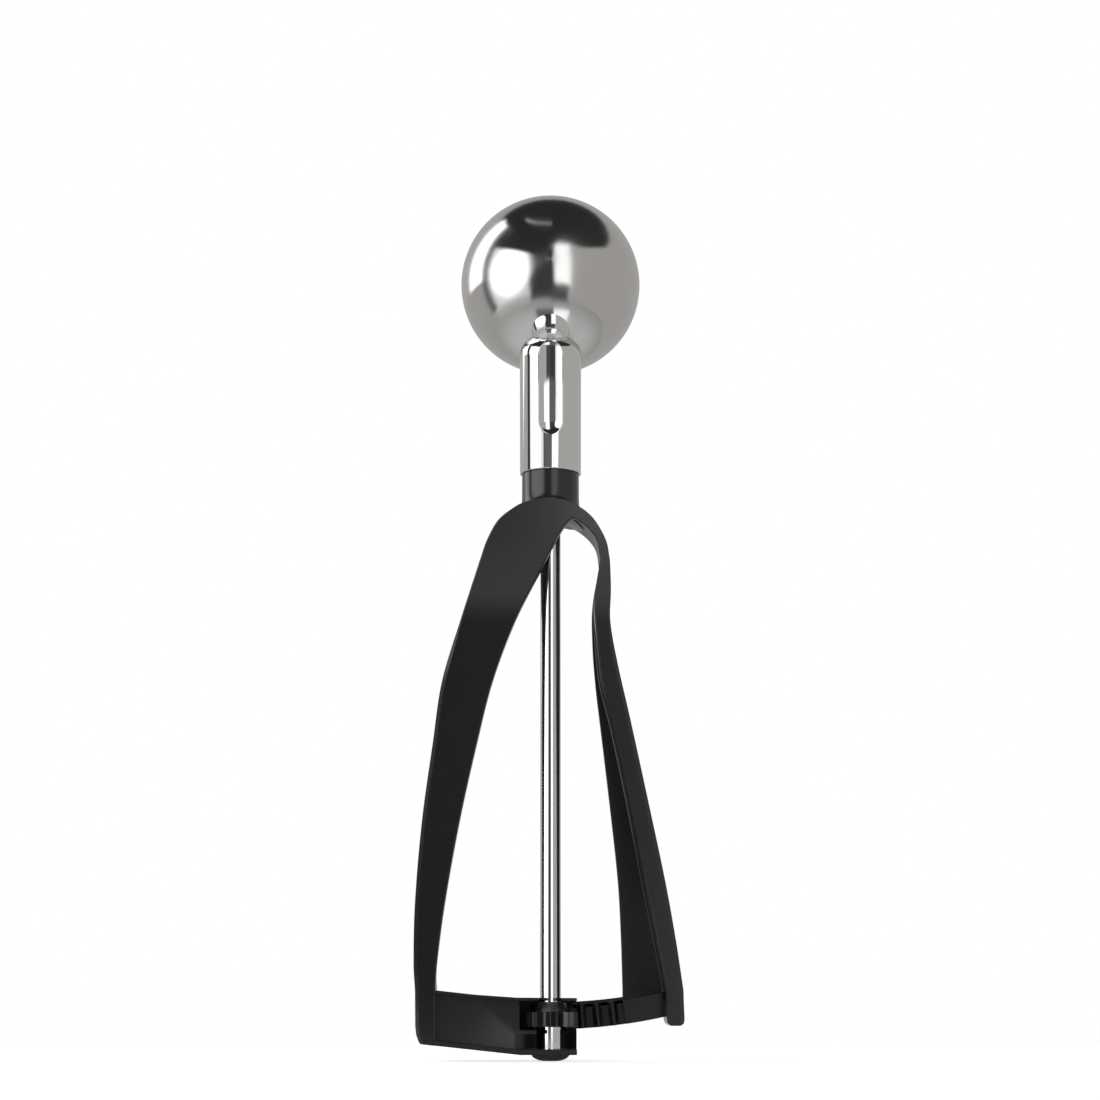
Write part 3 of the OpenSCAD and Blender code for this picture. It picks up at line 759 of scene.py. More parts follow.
def spine_distance(y, z, corner):
    """Distance from points to a triangle in the YZ plane, 0 inside it."""
    best = np.full(y.shape, np.inf)
    inside = np.ones(y.shape, bool)
    for (ay, az), (by, bz) in zip(corner, corner[1:] + corner[:1]):
        ey, ez = by - ay, bz - az
        t = np.clip(((y - ay) * ey + (z - az) * ez) / (ey ** 2 + ez ** 2), 0, 1)
        best = np.minimum(best, np.hypot(y - ay - t * ey, z - az - t * ez))
        inside &= ey * (z - az) - ez * (y - ay) >= 0
    return np.where(inside, 0, best)


def ferrule_field(sizes):
    """The ferrule's outside, lower bore and seat under the bowl, as a field of distances."""
    nose = sizes.nose_len / MM
    lean = sizes.lean
    tip = (-nose * math.sin(lean), ferrule_z0 + nose * math.cos(lean))
    back = (0.0, ferrule_z0 + sizes.back_top / MM)
    spine = [(0.0, ferrule_z0), back, tip]
    half, depth = sizes.flute_w / MM / 2, sizes.flute_depth / MM
    sag = depth - (ferrule_r - math.sqrt(ferrule_r ** 2 - half ** 2))
    flute_r = (half ** 2 + sag ** 2) / (2 * sag)
    boss_half, boss_h = sizes.boss_d / MM / 2, sizes.boss_h / MM
    squash = ferrule_r / (sizes.nose_end / MM) - 1
    rise = bowl_r + boss_h - math.sqrt(bowl_r ** 2 - boss_half ** 2)
    boss_r = (boss_half ** 2 + rise ** 2) / (2 * rise)
    boss_far = bowl_r + boss_h - boss_r
    boss_y = -boss_far * math.cos(sizes.boss_down)
    boss_z = bowl_z - boss_far * math.sin(sizes.boss_down)
    bore = collar_r + FIT
    flute_end = nose + 2

    def field(p):
        x, y, z = p[..., 0], p[..., 1], p[..., 2]
        lean_y = y * math.cos(lean) + (z - ferrule_z0) * math.sin(lean)
        lean_z = (z - ferrule_z0) * math.cos(lean) - y * math.sin(lean)
        over = squash * np.maximum(lean_z - nose, 0)
        tube = np.hypot(x, spine_distance(y - over * math.sin(lean), z + over * math.cos(lean),
                                          spine)) - ferrule_r
        skirt = np.maximum(np.hypot(x, y) - ferrule_r, z - ferrule_z0)
        tube = np.minimum(tube, skirt)
        boss = np.sqrt(x ** 2 + (y - boss_y) ** 2 + (z - boss_z) ** 2) - boss_r
        body = smooth_min(tube, boss, BOSS_FILLET)
        past = lean_z - np.clip(lean_z, sizes.flute_low / MM, flute_end)
        groove = np.sqrt(x ** 2 + (lean_y + ferrule_r - depth + flute_r) ** 2 + past ** 2) - flute_r
        body = smooth_max(body, -groove, FLUTE_EDGE)
        ball = np.sqrt(x ** 2 + y ** 2 + (z - bowl_z) ** 2) - (bowl_r - SEAT_DEPTH)
        body = np.maximum(body, -ball)
        body = smooth_max(body, ferrule_z0 - z, RIM_EDGE)
        hollow = np.maximum(np.hypot(x, y) - bore, z - collar_high[2])
        return smooth_max(body, -hollow, BORE_EDGE)

    return field


def build_ferrule(sizes):
    """The ferrule's closed skin, with the field's own normals."""
    field = ferrule_field(sizes)
    margin, cell = 1.0, 0.23
    low = np.array([-ferrule_r, ferrule_low[1], ferrule_z0]) - margin
    high = np.array([ferrule_r, ferrule_high[1], ferrule_high[2]]) + margin
    points, quads = surface_net(field, low, high, cell)
    material = drawn_chrome("drawn_chrome", sizes.chrome, 0.06)
    piece = new_piece("ferrule_sleeve", points, quads, material)
    piece.data.shade_smooth()
    slope = gradient(field, points)
    normals = slope / np.linalg.norm(slope, axis=1)[:, None]
    piece.data.normals_split_custom_set_from_vertices(normals.tolist())
    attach(piece, "frame")
    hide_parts("ferrule")


# ---- Handle ----

# Distance of an arm's edge from the rod at a share of the way up the arm
PALM_OUTER = [(0, 31.8), (0.06, 32.2), (0.2, 32), (0.39, 30.5), (0.57, 28.1), (0.715, 26),
              (0.86, 21.6), (1, 17.1)]
PALM_INNER = [(0, 27), (0.06, 26.7), (0.2, 24.9), (0.39, 21.5), (0.57, 17.5), (0.715, 13.8),
              (0.86, 8.3), (1, 1.1)]
SQUEEZE_OUTER = [(0, 31.2), (0.115, 29.5), (0.25, 27.1), (0.435, 23.2), (0.62, 19.2),
                 (0.762, 16), (0.857, 14.4), (0.93, 14.6), (1, 14.4)]
SQUEEZE_INNER = [(0, 27.2), (0.115, 25.1), (0.25, 22.3), (0.435, 18.7), (0.62, 14.7),
                 (0.715, 12.3), (0.81, 11.2), (0.905, 10.6), (1, 12)]
SQUEEZE_CUP = [(0, 9.9), (0.115, 8.1), (0.25, 6), (0.435, 4.4), (0.62, 2.6), (0.715, 1.3),
               (0.81, 0.9), (0.905, 0.3), (1, 0)]

# Outline of the crown over the arms' top ends, as X and height
CROWN_OUTER = [(-17.1, 0), (-15.4, 5), (-12.7, 9.9), (-8.9, 13), (-6.6, 14.2), (-3.5, 15.1),
               (0, 15.5), (3.5, 14.9), (6.6, 13.5), (10.4, 10.3), (13.4, 5), (14.4, 0)]
CROWN_ARCH = [(-1.1, 0), (1.1, 4.5), (3.1, 8), (4.7, 9.8), (6.2, 10), (9.3, 7.6), (11.3, 4.5),
              (12, 0)]

# Shares of the way along the crown's outline and along its arch where the two sides meet
OUTER_MIDDLE, ARCH_MIDDLE = 0.62, 0.52
# How far the crown's palm side is set back from the arch, and where that ends over the crown
# and starts up the arm, as shares of the way, each with the length of its fade
UNDERCUT, UNDERCUT_END, UNDERCUT_START = 2.2, (0.47, 0.1), (0.86, 0.14)

# The rounded feet. Palm side: the outer edge's distance from the rod, and the outer and the
# inner edge's height over the base's underside. Squeezed side: the outer and the inner edge's
# distance, their height, and how far the flange reaches in beyond them
PALM_FOOT = [(30.5, 2.5, 2.1), (30.9, 3.2, 3.0), (31.4, 4.6, 4.6), (31.65, 6.5, 6.5)]
PALM_FOOT_WALL, PALM_FOOT_INNER = 27.3, 27
FOOT_INNER, FOOT_LOW = 27.2, 8.2
SQUEEZE_FOOT = [(31.25, FOOT_INNER, 13.7, 9.9), (31.26, FOOT_INNER, 13.5, 0),
                (31.4, FOOT_INNER, FOOT_LOW + 1.4, 0), (31.2, 27.5, FOOT_LOW + 0.5, 0),
                (30.5, 28.2, FOOT_LOW, 0)]

ARM_RINGS, CROWN_RINGS = 90, 60
BACK_SHARE = 0.55                   # share of the arm over which its back steps in
BEVEL_END, BEVEL_FADE = 0.9, 0.14   # where up the arm its bevel has faded out, and over how much
TIP_ROUND, HOLLOW_ROUND = 0.35, 0.5


def back_at(u):
    """The arms' back at a share of their height: the base's depth below, the crown's above."""
    return back_y + (base_back_y - back_y) * ease(1 - u / BACK_SHARE)


def arm_ring(outer, inner, wall, tip, near, far, sizes, bevel):
    """Section of an arm in space. outer and inner are its edges' (X, Z), wall the thickness of
    the wall along the outer edge, tip the flange's width, near and far the flange's and the
    hollow's faces."""
    outer, inner = np.array(outer, float), np.array(inner, float)
    way = (inner - outer) / np.linalg.norm(inner - outer)
    d = 1.0 if far > near else -1.0
    level = near + d * sizes.flange / MM
    steps = 5
    corner = min(HOLLOW_ROUND, (tip - wall) / 2)
    section = [(0, near + d * bevel), (bevel, near), (tip - TIP_ROUND, near),
               (tip, near + d * TIP_ROUND), (tip, level)]
    for k in range(steps + 1):
        q = math.pi / 2 * k / steps
        section.append((wall + corner * (1 - math.sin(q)), level + d * corner * (1 - math.cos(q))))
    section += [(wall, far - d * TIP_ROUND), (wall - TIP_ROUND, far), (bevel, far),
                (0, far - d * bevel)]
    return [(outer[0] + way[0] * a, y, outer[1] + way[1] * a) for a, y in section]


def arm_bevel(sizes, u):
    """The outer bevel fades out where the arms run into the crown."""
    small = sizes.edge / MM
    return small + (sizes.bevel / MM - small) * ease((BEVEL_END - u) / BEVEL_FADE)


def crown_path(points):
    """A smooth outline of the crown in space, from rows of X and height over the arms."""
    return smooth_path([(x, crown_z0 + h) for x, h in points])


def crown_rings(first, last, sizes, near, far):
    """Rings over the crown, from one share of the way across it to another. Behind its front
    face the palm side is set back from the arch."""
    outer, arch = crown_path(CROWN_OUTER), crown_path(CROWN_ARCH)
    end, fade = UNDERCUT_END
    rings = []
    for t in np.linspace(first, last, CROWN_RINGS):
        o = along(outer, np.interp(t, [0, 0.5, 1], [0, OUTER_MIDDLE, 1]))
        i = along(arch, np.interp(t, [0, 0.5, 1], [0, ARCH_MIDDLE, 1]))
        width = np.linalg.norm(i - o)
        wall = width - UNDERCUT * ease((end - t) / fade)
        rings.append(arm_ring(o, i, wall, width, near, far, sizes, sizes.edge / MM))
    return rings


def palm_rings(sizes):
    """Rings up the palm side, from its foot to the crown."""
    wall = sizes.wall / MM
    start, fade = UNDERCUT_START
    rings = []
    for outer, outer_z, inner_z in PALM_FOOT:
        rings.append(arm_ring((-outer, floor_z + outer_z), (-PALM_FOOT_INNER, floor_z + inner_z),
                              outer - PALM_FOOT_WALL, outer - PALM_FOOT_INNER, front_y,
                              base_back_y, sizes, sizes.bevel / MM))
    for u in np.linspace(0, 1, ARM_RINGS)[:-1]:
        outer, inner = smooth_value(PALM_OUTER, u), smooth_value(PALM_INNER, u)
        z = arm_z0 + (crown_z0 - arm_z0) * u
        full = outer - inner
        solid = min(wall, full)
        solid += (full - UNDERCUT - solid) * ease((u - start) / fade)
        rings.append(arm_ring((-outer, z), (-inner, z), solid, full, front_y, back_at(u),
                              sizes, arm_bevel(sizes, u)))
    return rings


def squeeze_rings(sizes):
    """Rings down the squeezed side, from the crown to its foot."""
    rings = []
    for u in np.linspace(1, 0, ARM_RINGS)[1:]:
        outer, inner = smooth_value(SQUEEZE_OUTER, u), smooth_value(SQUEEZE_INNER, u)
        cup = smooth_value(SQUEEZE_CUP, u)
        z = arm_z0 + (crown_z0 - arm_z0) * u
        rings.append(arm_ring((outer, z), (inner, z), outer - inner, outer - inner + cup,
                              back_at(u), front_y, sizes, arm_bevel(sizes, u)))
    for outer, inner, z, cup in SQUEEZE_FOOT:
        rings.append(arm_ring((outer, z), (inner, z), outer - inner, outer - inner + cup,
                              base_back_y, front_y, sizes, sizes.bevel / MM))
    return rings


def build_handle(sizes):
    """The bow's two sides, which meet over the rod."""
    # The crown's lighter colour is painted light
    black = moulded("moulded_black", sizes.plastic, 0.15, sizes.crown, 0.34)
    edge = sizes.edge / MM
    palm = new_piece("bow_palm_side",
                     *loft(palm_rings(sizes) + crown_rings(0, 0.5, sizes, front_y, back_y)), black)
    squeeze = new_piece("bow_squeeze_side",
                        *loft(crown_rings(0.5, 1, sizes, back_y, front_y) + squeeze_rings(sizes)),
                        black)
    for piece in (palm, squeeze):
        soften_edges(piece, edge * 0.6, sharp=28)
    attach(palm, "frame")
    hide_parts("handle_crown", "palm_arm")
    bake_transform(squeeze)
    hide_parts("lever_root", "squeeze_arm")
    build_collar(moulded("collar_black", sizes.plastic, 0.2))


def build_collar(black):
    """The collar, with a small flare down onto the crown's curved top."""
    bore = rod_r + 0.05
    deep = crown_top - 4
    follow_top, follow_fade = crown_top + 3.5, 3
    flare = [(0.9, -0.9), (0.5, -0.2), (0.28, 0.25), (0.14, 0.8), (0.05, 1.5), (0, 2.3)]
    profile = ([(bore, deep), (collar_r + flare[0][0], deep)]
               + [(collar_r + wide, crown_top + h) for wide, h in flare]
               + [(collar_r, ferrule_z0 - 0.5), (collar_r, collar_high[2]), (bore, collar_high[2]),
                  (bore, deep)])
    piece = turned("collar", radial(profile), black)
    outer = crown_path(CROWN_OUTER)
    top = outer[np.argsort(outer[:, 0])]
    for vertex in piece.data.vertices:
        x, y, z = np.array(vertex.co) / MM
        drop = crown_top - np.interp(x, top[:, 0], top[:, 1])
        z -= drop * ease((follow_top - z) / follow_fade)
        vertex.co = Vector((x, min(max(y, front_y + FIT), back_y - FIT), z)) * MM
    shade(piece, 60)
    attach(piece, "frame")
    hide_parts("handle_collar")


# ---- Base ----

# The roof's top and the floor's underside, as X and rise. X 0 stands for the base's right end
ROOF_LINE = [(0, 0), (-8, 0.1), (-18, 0.8), (-27.2, 1.8)]
FLOOR_LINE = [(0, 0), (-7, 0), (-27.2, 2.15)]
PANEL_LEFT = -27.1
WINDOW_LEFT = -7.3
# The scooped pocket under the window, as X and depth behind the panel
POCKET = [(-9.6, -0.01), (-8, 0.3), (-6, 1.4), (-4, 3.6), (-1.5, 6.6), (2, 8.4), (6, 8.6)]


def raised(line, z):
    """A line of (X, height) rows from the base's right end, lifted to a level."""
    return [(x if x else base_right, h + z) for x, h in line]


def base_core(black, panel_y, wall, block_top, roof_low, roof_top):
    """The block between floor and roof, with the rack's channel, the window and the pocket."""
    low, pocket_low, round_rod = floor_z + 0.6, floor_z + 0.9, 0.9
    past, before, channel_back = base_right + 1, panel_y - 1, base_back_y - wall
    core = new_piece("base_core", *plate([
        (PANEL_LEFT, floor_z + 2.6), (PANEL_LEFT, roof_top + 1.4), (-18, roof_top + 0.4),
        (-8, roof_top - 0.3), (base_right, roof_top - 0.35), (base_right, low), (-7, low)],
        panel_y, base_back_y - 0.05), black)
    face_outwards(core)
    channel = ((PANEL_LEFT + 1, panel_y + wall, block_top), (past, channel_back, roof_low))
    window = ((WINDOW_LEFT, before, block_top), (past, channel_back, roof_top + 1))
    for corner, far_corner in (channel, window):
        cut_shape(core, *box_shape(corner, far_corner))
    pocket = [tuple(p) for p in smooth_path([(x, panel_y + deep) for x, deep in POCKET])]
    pocket += [(past, panel_y + POCKET[-1][1]), (past, before), (POCKET[0][0], before)]
    cut_shape(core, *loft([[(x, y, z) for x, y in pocket] for z in (pocket_low, block_top - 0.9)]))
    cut_shape(core, *box_shape((-rod_r - round_rod, before, pocket_low),
                               (past, panel_y + POCKET[-2][1], block_top + 0.5)))
    return core


def base_slabs(black, floor, roof, roof_low, roof_top):
    """The floor and the roof, which is slotted for the rod."""
    top, bottom = raised(ROOF_LINE, roof_top), raised(FLOOR_LINE, floor_z)
    slabs = new_piece("base_slabs", *joined([
        plate([(x, z - roof) for x, z in top] + top[::-1], front_y, base_back_y),
        plate(bottom + [(x, z + floor) for x, z in bottom][::-1], front_y, base_back_y)]), black)
    face_outwards(slabs)
    slot = rod_r + 0.3
    cut_shape(slabs, *box_shape((-slot, front_y - 1, roof_low - 1), (slot, slot, roof_top + 1)))
    return slabs


def build_base(sizes):
    """The base: a core with a window, a channel for the rack and a scooped pocket, between a
    floor and a roof that is slotted for the rod."""
    black = moulded("base_black", bpy.context.scene.scoop_handle.plastic, 0.2)
    over_hub, under_pinion = 0.9, 0.7
    floor, roof, wall = sizes.floor / MM, sizes.roof / MM, sizes.wall / MM
    roof_top, block_top = pinion_high[2] + over_hub, pinion_low[2] - under_pinion
    roof_low = roof_top - roof
    panel_y = front_y + sizes.recess / MM
    core = base_core(black, panel_y, wall, block_top, roof_low, roof_top)
    slabs = base_slabs(black, floor, roof, roof_low, roof_top)
    # Painted shade over the pocket, the window's inside and the rack's channel behind the panel
    paint_recess_shade(black, (POCKET[0][0] + 1, panel_y + 0.3, floor_z + floor),
                  (base_right + 1, base_back_y - wall + 1, roof_low + 0.3))
    for piece in (core, slabs):
        soften_edges(piece, 0.16)
    join([slabs, core])
    slabs.name = slabs.data.name = "base_shell"
    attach(slabs, "frame")
    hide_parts("rack_housing")
    build_cap(sizes)


def build_cap(sizes):
    """The domed bearing cap under the base."""
    flat = sizes.cap_flat / MM / 2
    dome = [(flat + (cap_r - flat) * math.sin(a), floor_z * (1 - math.cos(a)) ** 0.8)
            for a in np.linspace(0, math.pi / 2, 14)]
    profile = [(0, 0)] + dome + [(cap_r, floor_z + FIT), (0, floor_z + FIT)]
    piece = turned("bearing_dome", radial(profile), moulded("cap_grey", sizes.cap_grey, 0.34))
    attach(piece, "frame")
    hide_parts("bearing_cap")


# ---- Rod, pinion and rack ----

def build_rod(chrome):
    """The rod, its square end in the blade and the peened head."""
    shoulder = corners("scraper_blade")[0][2] - FIT
    tang, head, edge = 2.9, 1.0, 0.2
    head_z = rod_high[2] - head
    bar = turned("rod", radial([(0, rod_low[2])] + [tuple(p) for p in rounded(
        [(0, rod_low[2]), (rod_r, rod_low[2]), (rod_r, shoulder), (0, shoulder)], edge,
        closed=False)][1:]), chrome)
    half = tang / 2
    end = new_piece("rod_end", *loft([[(x, y, z) for x, y in rounded(
        [(-half, -half), (half, -half), (half, half), (-half, half)], edge)]
        for z in (shoulder - 0.01, head_z + 0.3)]), chrome)
    dome_r = half + 1
    dome = turned("rod_head", radial([(0, head_z)] + [
        (dome_r * math.cos(a), head_z + head * math.sin(a))
        for a in np.linspace(0, math.pi / 2, 9)]), chrome)
    shade(end)
    join([bar, end, dome])
    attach(bar, "spindle")
    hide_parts("spindle_rod")


# Depth of the pinion's gaps, and how far the rack's teeth stand in front of their pitch line and
# reach behind it, in modules
PINION_ROOT, RACK_TIP, RACK_ROOT = 1.15, 0.92, 1.1
RACK_FLANK = math.radians(20)


def tooth_sizes(sizes):
    """The module, the pinion's pitch radius and half a tooth's width on the pitch line."""
    module = sizes.module / MM
    pitch_r = module * sizes.teeth / 2
    return module, pitch_r, math.pi * module / 4 - sizes.play / MM


def build_pinion(sizes):
    """One sector of the pinion with one tooth, repeated round the rod, and the faceted hub."""
    module, pitch_r, tooth_half = tooth_sizes(sizes)
    root_r, tip_r = pitch_r - PINION_ROOT * module, pitch_r + module
    root_half = tooth_half + (pitch_r - root_r) * 0.2
    tip_half = tooth_half - module * 0.42
    reach = math.pi / sizes.teeth
    half = [(root_r * math.cos(reach * part), root_r * math.sin(reach * part))
            for part in (1, 0.85)]
    half += [(root_r, root_half), (pitch_r, tooth_half), (tip_r - 0.2, tip_half),
             (tip_r, tip_half - 0.15)]
    outline = [(x, -y) for x, y in half] + half[::-1]
    bore_r = rod_r - FIT
    bore = [(bore_r * math.cos(a), bore_r * math.sin(a))
            for a in np.linspace(-reach, reach, len(outline))]
    low, high = pinion_low[2], pinion_low[2] + sizes.width / MM
    rings = [[(x, y, z) for x, y in line] for line, z in
             ((bore, low), (outline, low), (outline, high), (bore, high), (bore, low))]
    n = len(outline)
    faces = [[j * n + i, j * n + i + 1, (j + 1) * n + i + 1, (j + 1) * n + i]
             for j in range(4) for i in range(n - 1)]
    black = moulded("pinion_black", sizes.pinion_grey, 0.13)
    gear = new_piece("pinion_gear", [p for ring in rings for p in ring], faces, black)
    run_tree(gear, tooth_tree(), {
        "Count": sizes.teeth, "First Angle": math.pi / 2 + reach, "Step Angle": 2 * reach,
        "Axis": (0, 0, 1), "Pivot": (0, 0, 0), "Material": black})
    soften_edges(gear, 0.14, sharp=24)
    facets = 12
    hub_ring = [(math.cos(a), math.sin(a)) for a in np.linspace(0, math.tau, facets + 1)[:-1]]
    hub_top = pinion_high[2]
    hub = new_piece("hub", *loft([[(r * x, r * y, z) for x, y in hub_ring] for r, z in
                                  ((root_r, high - 0.01), (rod_r + sizes.hub_wall / MM, hub_top))]),
                    moulded("hub_black", sizes.hub_grey, 0.25))
    soften_edges(hub, 0.1, sharp=15)
    join([gear, hub])
    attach(gear, "spindle")
    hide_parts("pinion")


def sector(first, last, inner, outer, steps=16):
    """An XZ outline between two angles and two radii about the lever's pivot."""
    centre = (pivot[0], pivot[2])
    return arc(outer, first, last, steps, centre) + arc(inner, first, last, steps, centre)[::-1]


def build_rack(sizes):
    """The toothed bar on the squeezed arm's foot. Its places along the bar are in steps, the
    angle between two teeth about the lever's pivot."""
    module, pitch_r, tooth_half = tooth_sizes(sizes)
    mesh_r = pivot[2] - (pinion_low[2] + sizes.width / MM / 2)
    step = 2 * math.pi * (pitch_r / mesh_r) / sizes.teeth
    low_r = mesh_r + 2.4
    high_r = low_r - sizes.rack_h / MM
    tip_y, root_y = pitch_r - RACK_TIP * module, pitch_r + RACK_ROOT * module
    bar_y = root_y + sizes.rack_back / MM
    flank = math.tan(RACK_FLANK)
    root_half = tooth_half + (root_y - pitch_r) * flank
    tip_half = tooth_half - (pitch_r - tip_y) * flank
    black = bpy.data.materials["moulded_black"]
    section = [(-root_half, root_y + 0.1), (-tip_half, tip_y), (tip_half, tip_y),
               (root_half, root_y + 0.1)]
    tooth = new_piece("rack_teeth", *loft([[(x, y, -r) for x, y in section]
                                           for r in (low_r, high_r)]), black)
    face_outwards(tooth)
    run_tree(tooth, tooth_tree(), {
        "Count": sizes.rack_teeth, "First Angle": step, "Step Angle": -step, "Axis": (0, 1, 0),
        "Pivot": Vector(pivot) * MM, "Material": black})
    end = math.asin((FOOT_INNER + 0.3) / mesh_r)
    first, ledge, plain = -1.4 * step, 1.35 * step, (sizes.rack_teeth - 1.3) * step
    web_in, web_out, web_low, web_high = 20.9, FOOT_INNER + 0.5, arm_z0 - 2.5, arm_z0 + 0.5
    shells = [
        plate(sector(first, end, high_r, low_r), root_y, bar_y),
        plate(sector(plain, end, high_r, low_r), tip_y, root_y + 0.1),
        plate(sector(ledge, end, high_r - sizes.rack_ledge / MM, high_r + 1), root_y, bar_y),
        plate([(web_in, web_low), (web_out, web_low), (web_out, web_high), (web_in, web_high)],
              root_y, bar_y),
    ]
    bar = new_piece("rack_bar", *joined(shells), black)
    for piece in (bar, tooth):
        soften_edges(piece, 0.14)
    join([bar, tooth])
    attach(bar, "lever")
    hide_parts("rack")


# ---- Stage ----

FLOOR_REACH = 270
FLOOR_NEAR, FLOOR_BRIGHT = 30, 90       # how far out the floor's mirrored light starts and peaks
CARD_MIDDLE = 150                       # height from which the cards' angles are measured
GAIN_REACH = 45                         # degrees up a card over which its gain fades to one


def glow(name, strength, tint=(1, 1, 1)):
    """A card's material: light, changed and faded out where the mesh says so."""
    material = bpy.data.materials.new(name)
    material.use_nodes = True
    tree = material.node_tree
    tree.nodes.clear()
    fade, gain = (add(tree, "ShaderNodeAttribute", attribute_name=key).outputs["Fac"]
                  for key in ("fade", "gain"))
    light = add(tree, "ShaderNodeEmission", {
        "Color": (*tint, 1), "Strength": maths(tree, "MULTIPLY", gain, strength)})
    clear = add(tree, "ShaderNodeBsdfTransparent")
    mix = add(tree, "ShaderNodeMixShader", {0: fade, 1: clear.outputs[0], 2: light.outputs[0]})
    add(tree, "ShaderNodeOutputMaterial", {"Surface": mix.outputs[0]})
    return material


def card(name, azimuths, elevations, strength, soft, far, tint=(1, 1, 1), low_gain=1, oval=False):
    """A curved card round the object, hidden from the camera. Azimuth 0 is towards -Y and 90
    towards +X. elevations may be a function of the azimuth. soft is the width of its faded edge,
    and low_gain what its light is multiplied by at the bottom."""
    rows, columns = 30, 42
    points, fade, gain = [], [], []
    for a in np.linspace(*azimuths, columns):
        low, high = elevations(a) if callable(elevations) else elevations
        for e in np.linspace(low, high, rows):
            flat, up = math.radians(a), math.radians(e)
            points.append((far * math.sin(flat) * math.cos(up), -far * math.cos(flat) * math.cos(up),
                           CARD_MIDDLE + far * math.sin(up)))
            across, tall = (azimuths[1] - azimuths[0]) / 2, (high - low) / 2
            edge = min(a - azimuths[0], azimuths[1] - a, e - low, high - e)
            if across >= 180:
                edge = e - low
            if oval:
                edge = min(across, tall) * (1 - math.hypot((a - azimuths[0]) / across - 1,
                                                           (e - low) / tall - 1))
            fade.append(ease(edge / soft))
            gain.append(low_gain + (1 - low_gain) * ease((e - low) / GAIN_REACH))
    faces = [[i * rows + k, i * rows + k + 1, (i + 1) * rows + k + 1, (i + 1) * rows + k]
             for i in range(columns - 1) for k in range(rows - 1)]
    piece = new_piece(name, points, faces, glow(name, strength, tint))
    for key, values in (("fade", fade), ("gain", gain)):
        attribute = piece.data.attributes.new(key, "FLOAT", "POINT")
        attribute.data.foreach_set("value", np.array(values, np.float32))
    piece.visible_camera = False
    piece.visible_shadow = False


def white_floor():
    """A pale floor that the camera sees as white, with the object's shadow. Metal sees it
    brighter near the object than at its edge."""
    material = bpy.data.materials.new("white_floor")
    material.use_nodes = True
    tree = material.node_tree
    tree.nodes.clear()
    path = add(tree, "ShaderNodeLightPath").outputs
    place = add(tree, "ShaderNodeTexCoord").outputs["Object"]
    way = vector_maths(tree, "LENGTH", place)
    rise = steps_up(tree, way, FLOOR_NEAR, FLOOR_BRIGHT)
    fall = steps_up(tree, way, FLOOR_REACH, FLOOR_BRIGHT)
    near = spread(tree, maths(tree, "MULTIPLY", rise, fall), 0.06, 0.3)
    mirrored = maths(tree, "MAXIMUM", path["Is Glossy Ray"], path["Is Transmission Ray"])
    matt = add(tree, "ShaderNodeBsdfDiffuse", {"Color": (0.8, 0.8, 0.8, 1)})
    light = add(tree, "ShaderNodeEmission", {"Strength": maths(
        tree, "ADD", maths(tree, "MULTIPLY", path["Is Camera Ray"], 0.72),
        maths(tree, "MULTIPLY", mirrored, near))})
    both = add(tree, "ShaderNodeAddShader", {0: matt.outputs[0], 1: light.outputs[0]})
    add(tree, "ShaderNodeOutputMaterial", {"Surface": both.outputs[0]})
    return material


def white_world(strength):
    """White for the camera and for what mirrors it, and plain light for everything else."""
    world = bpy.data.worlds.new("white_world")
    world.use_nodes = True
    tree = world.node_tree
    tree.nodes.clear()
    path = add(tree, "ShaderNodeLightPath").outputs
    seen = maths(tree, "MAXIMUM", path["Is Camera Ray"],
                 maths(tree, "MAXIMUM", path["Is Glossy Ray"], path["Is Transmission Ray"]))
    level = spread(tree, seen, strength, 1.0)
    sky = add(tree, "ShaderNodeBackground", {"Color": (1, 1, 1, 1), "Strength": level})
    add(tree, "ShaderNodeOutputWorld", {"Surface": sky.outputs[0]})
    bpy.context.scene.world = world


def ceiling_edge(azimuth):
    """How high the dark ceiling starts, round the room."""
    rows = [(-180, 52), (-130, 49), (-97, 54), (-84, 33), (-55, 30), (-25, 24), (0, 30), (8, 40),
            (28, 36), (45, 32), (85, 33), (120, 45), (180, 52)]
    return float(np.interp(azimuth, *zip(*rows))), 90


def set_camera(sizes):
    """A camera low over the floor that looks slightly up."""
    camera = bpy.data.cameras.new("camera")
    camera.lens = sizes.lens
    camera.sensor_width = 36.0
    camera.clip_start, camera.clip_end = 0.01, 20.0
    eye = bpy.data.objects.new("camera", camera)
    eye.location = (-0.12 * MM, -sizes.distance, sizes.eye_z)
    eye.rotation_euler = (math.pi / 2 + sizes.pitch, 0, 0)
    bpy.context.scene.collection.objects.link(eye)
    bpy.context.scene.camera = eye
    bpy.context.scene.view_settings.view_transform = "Standard"


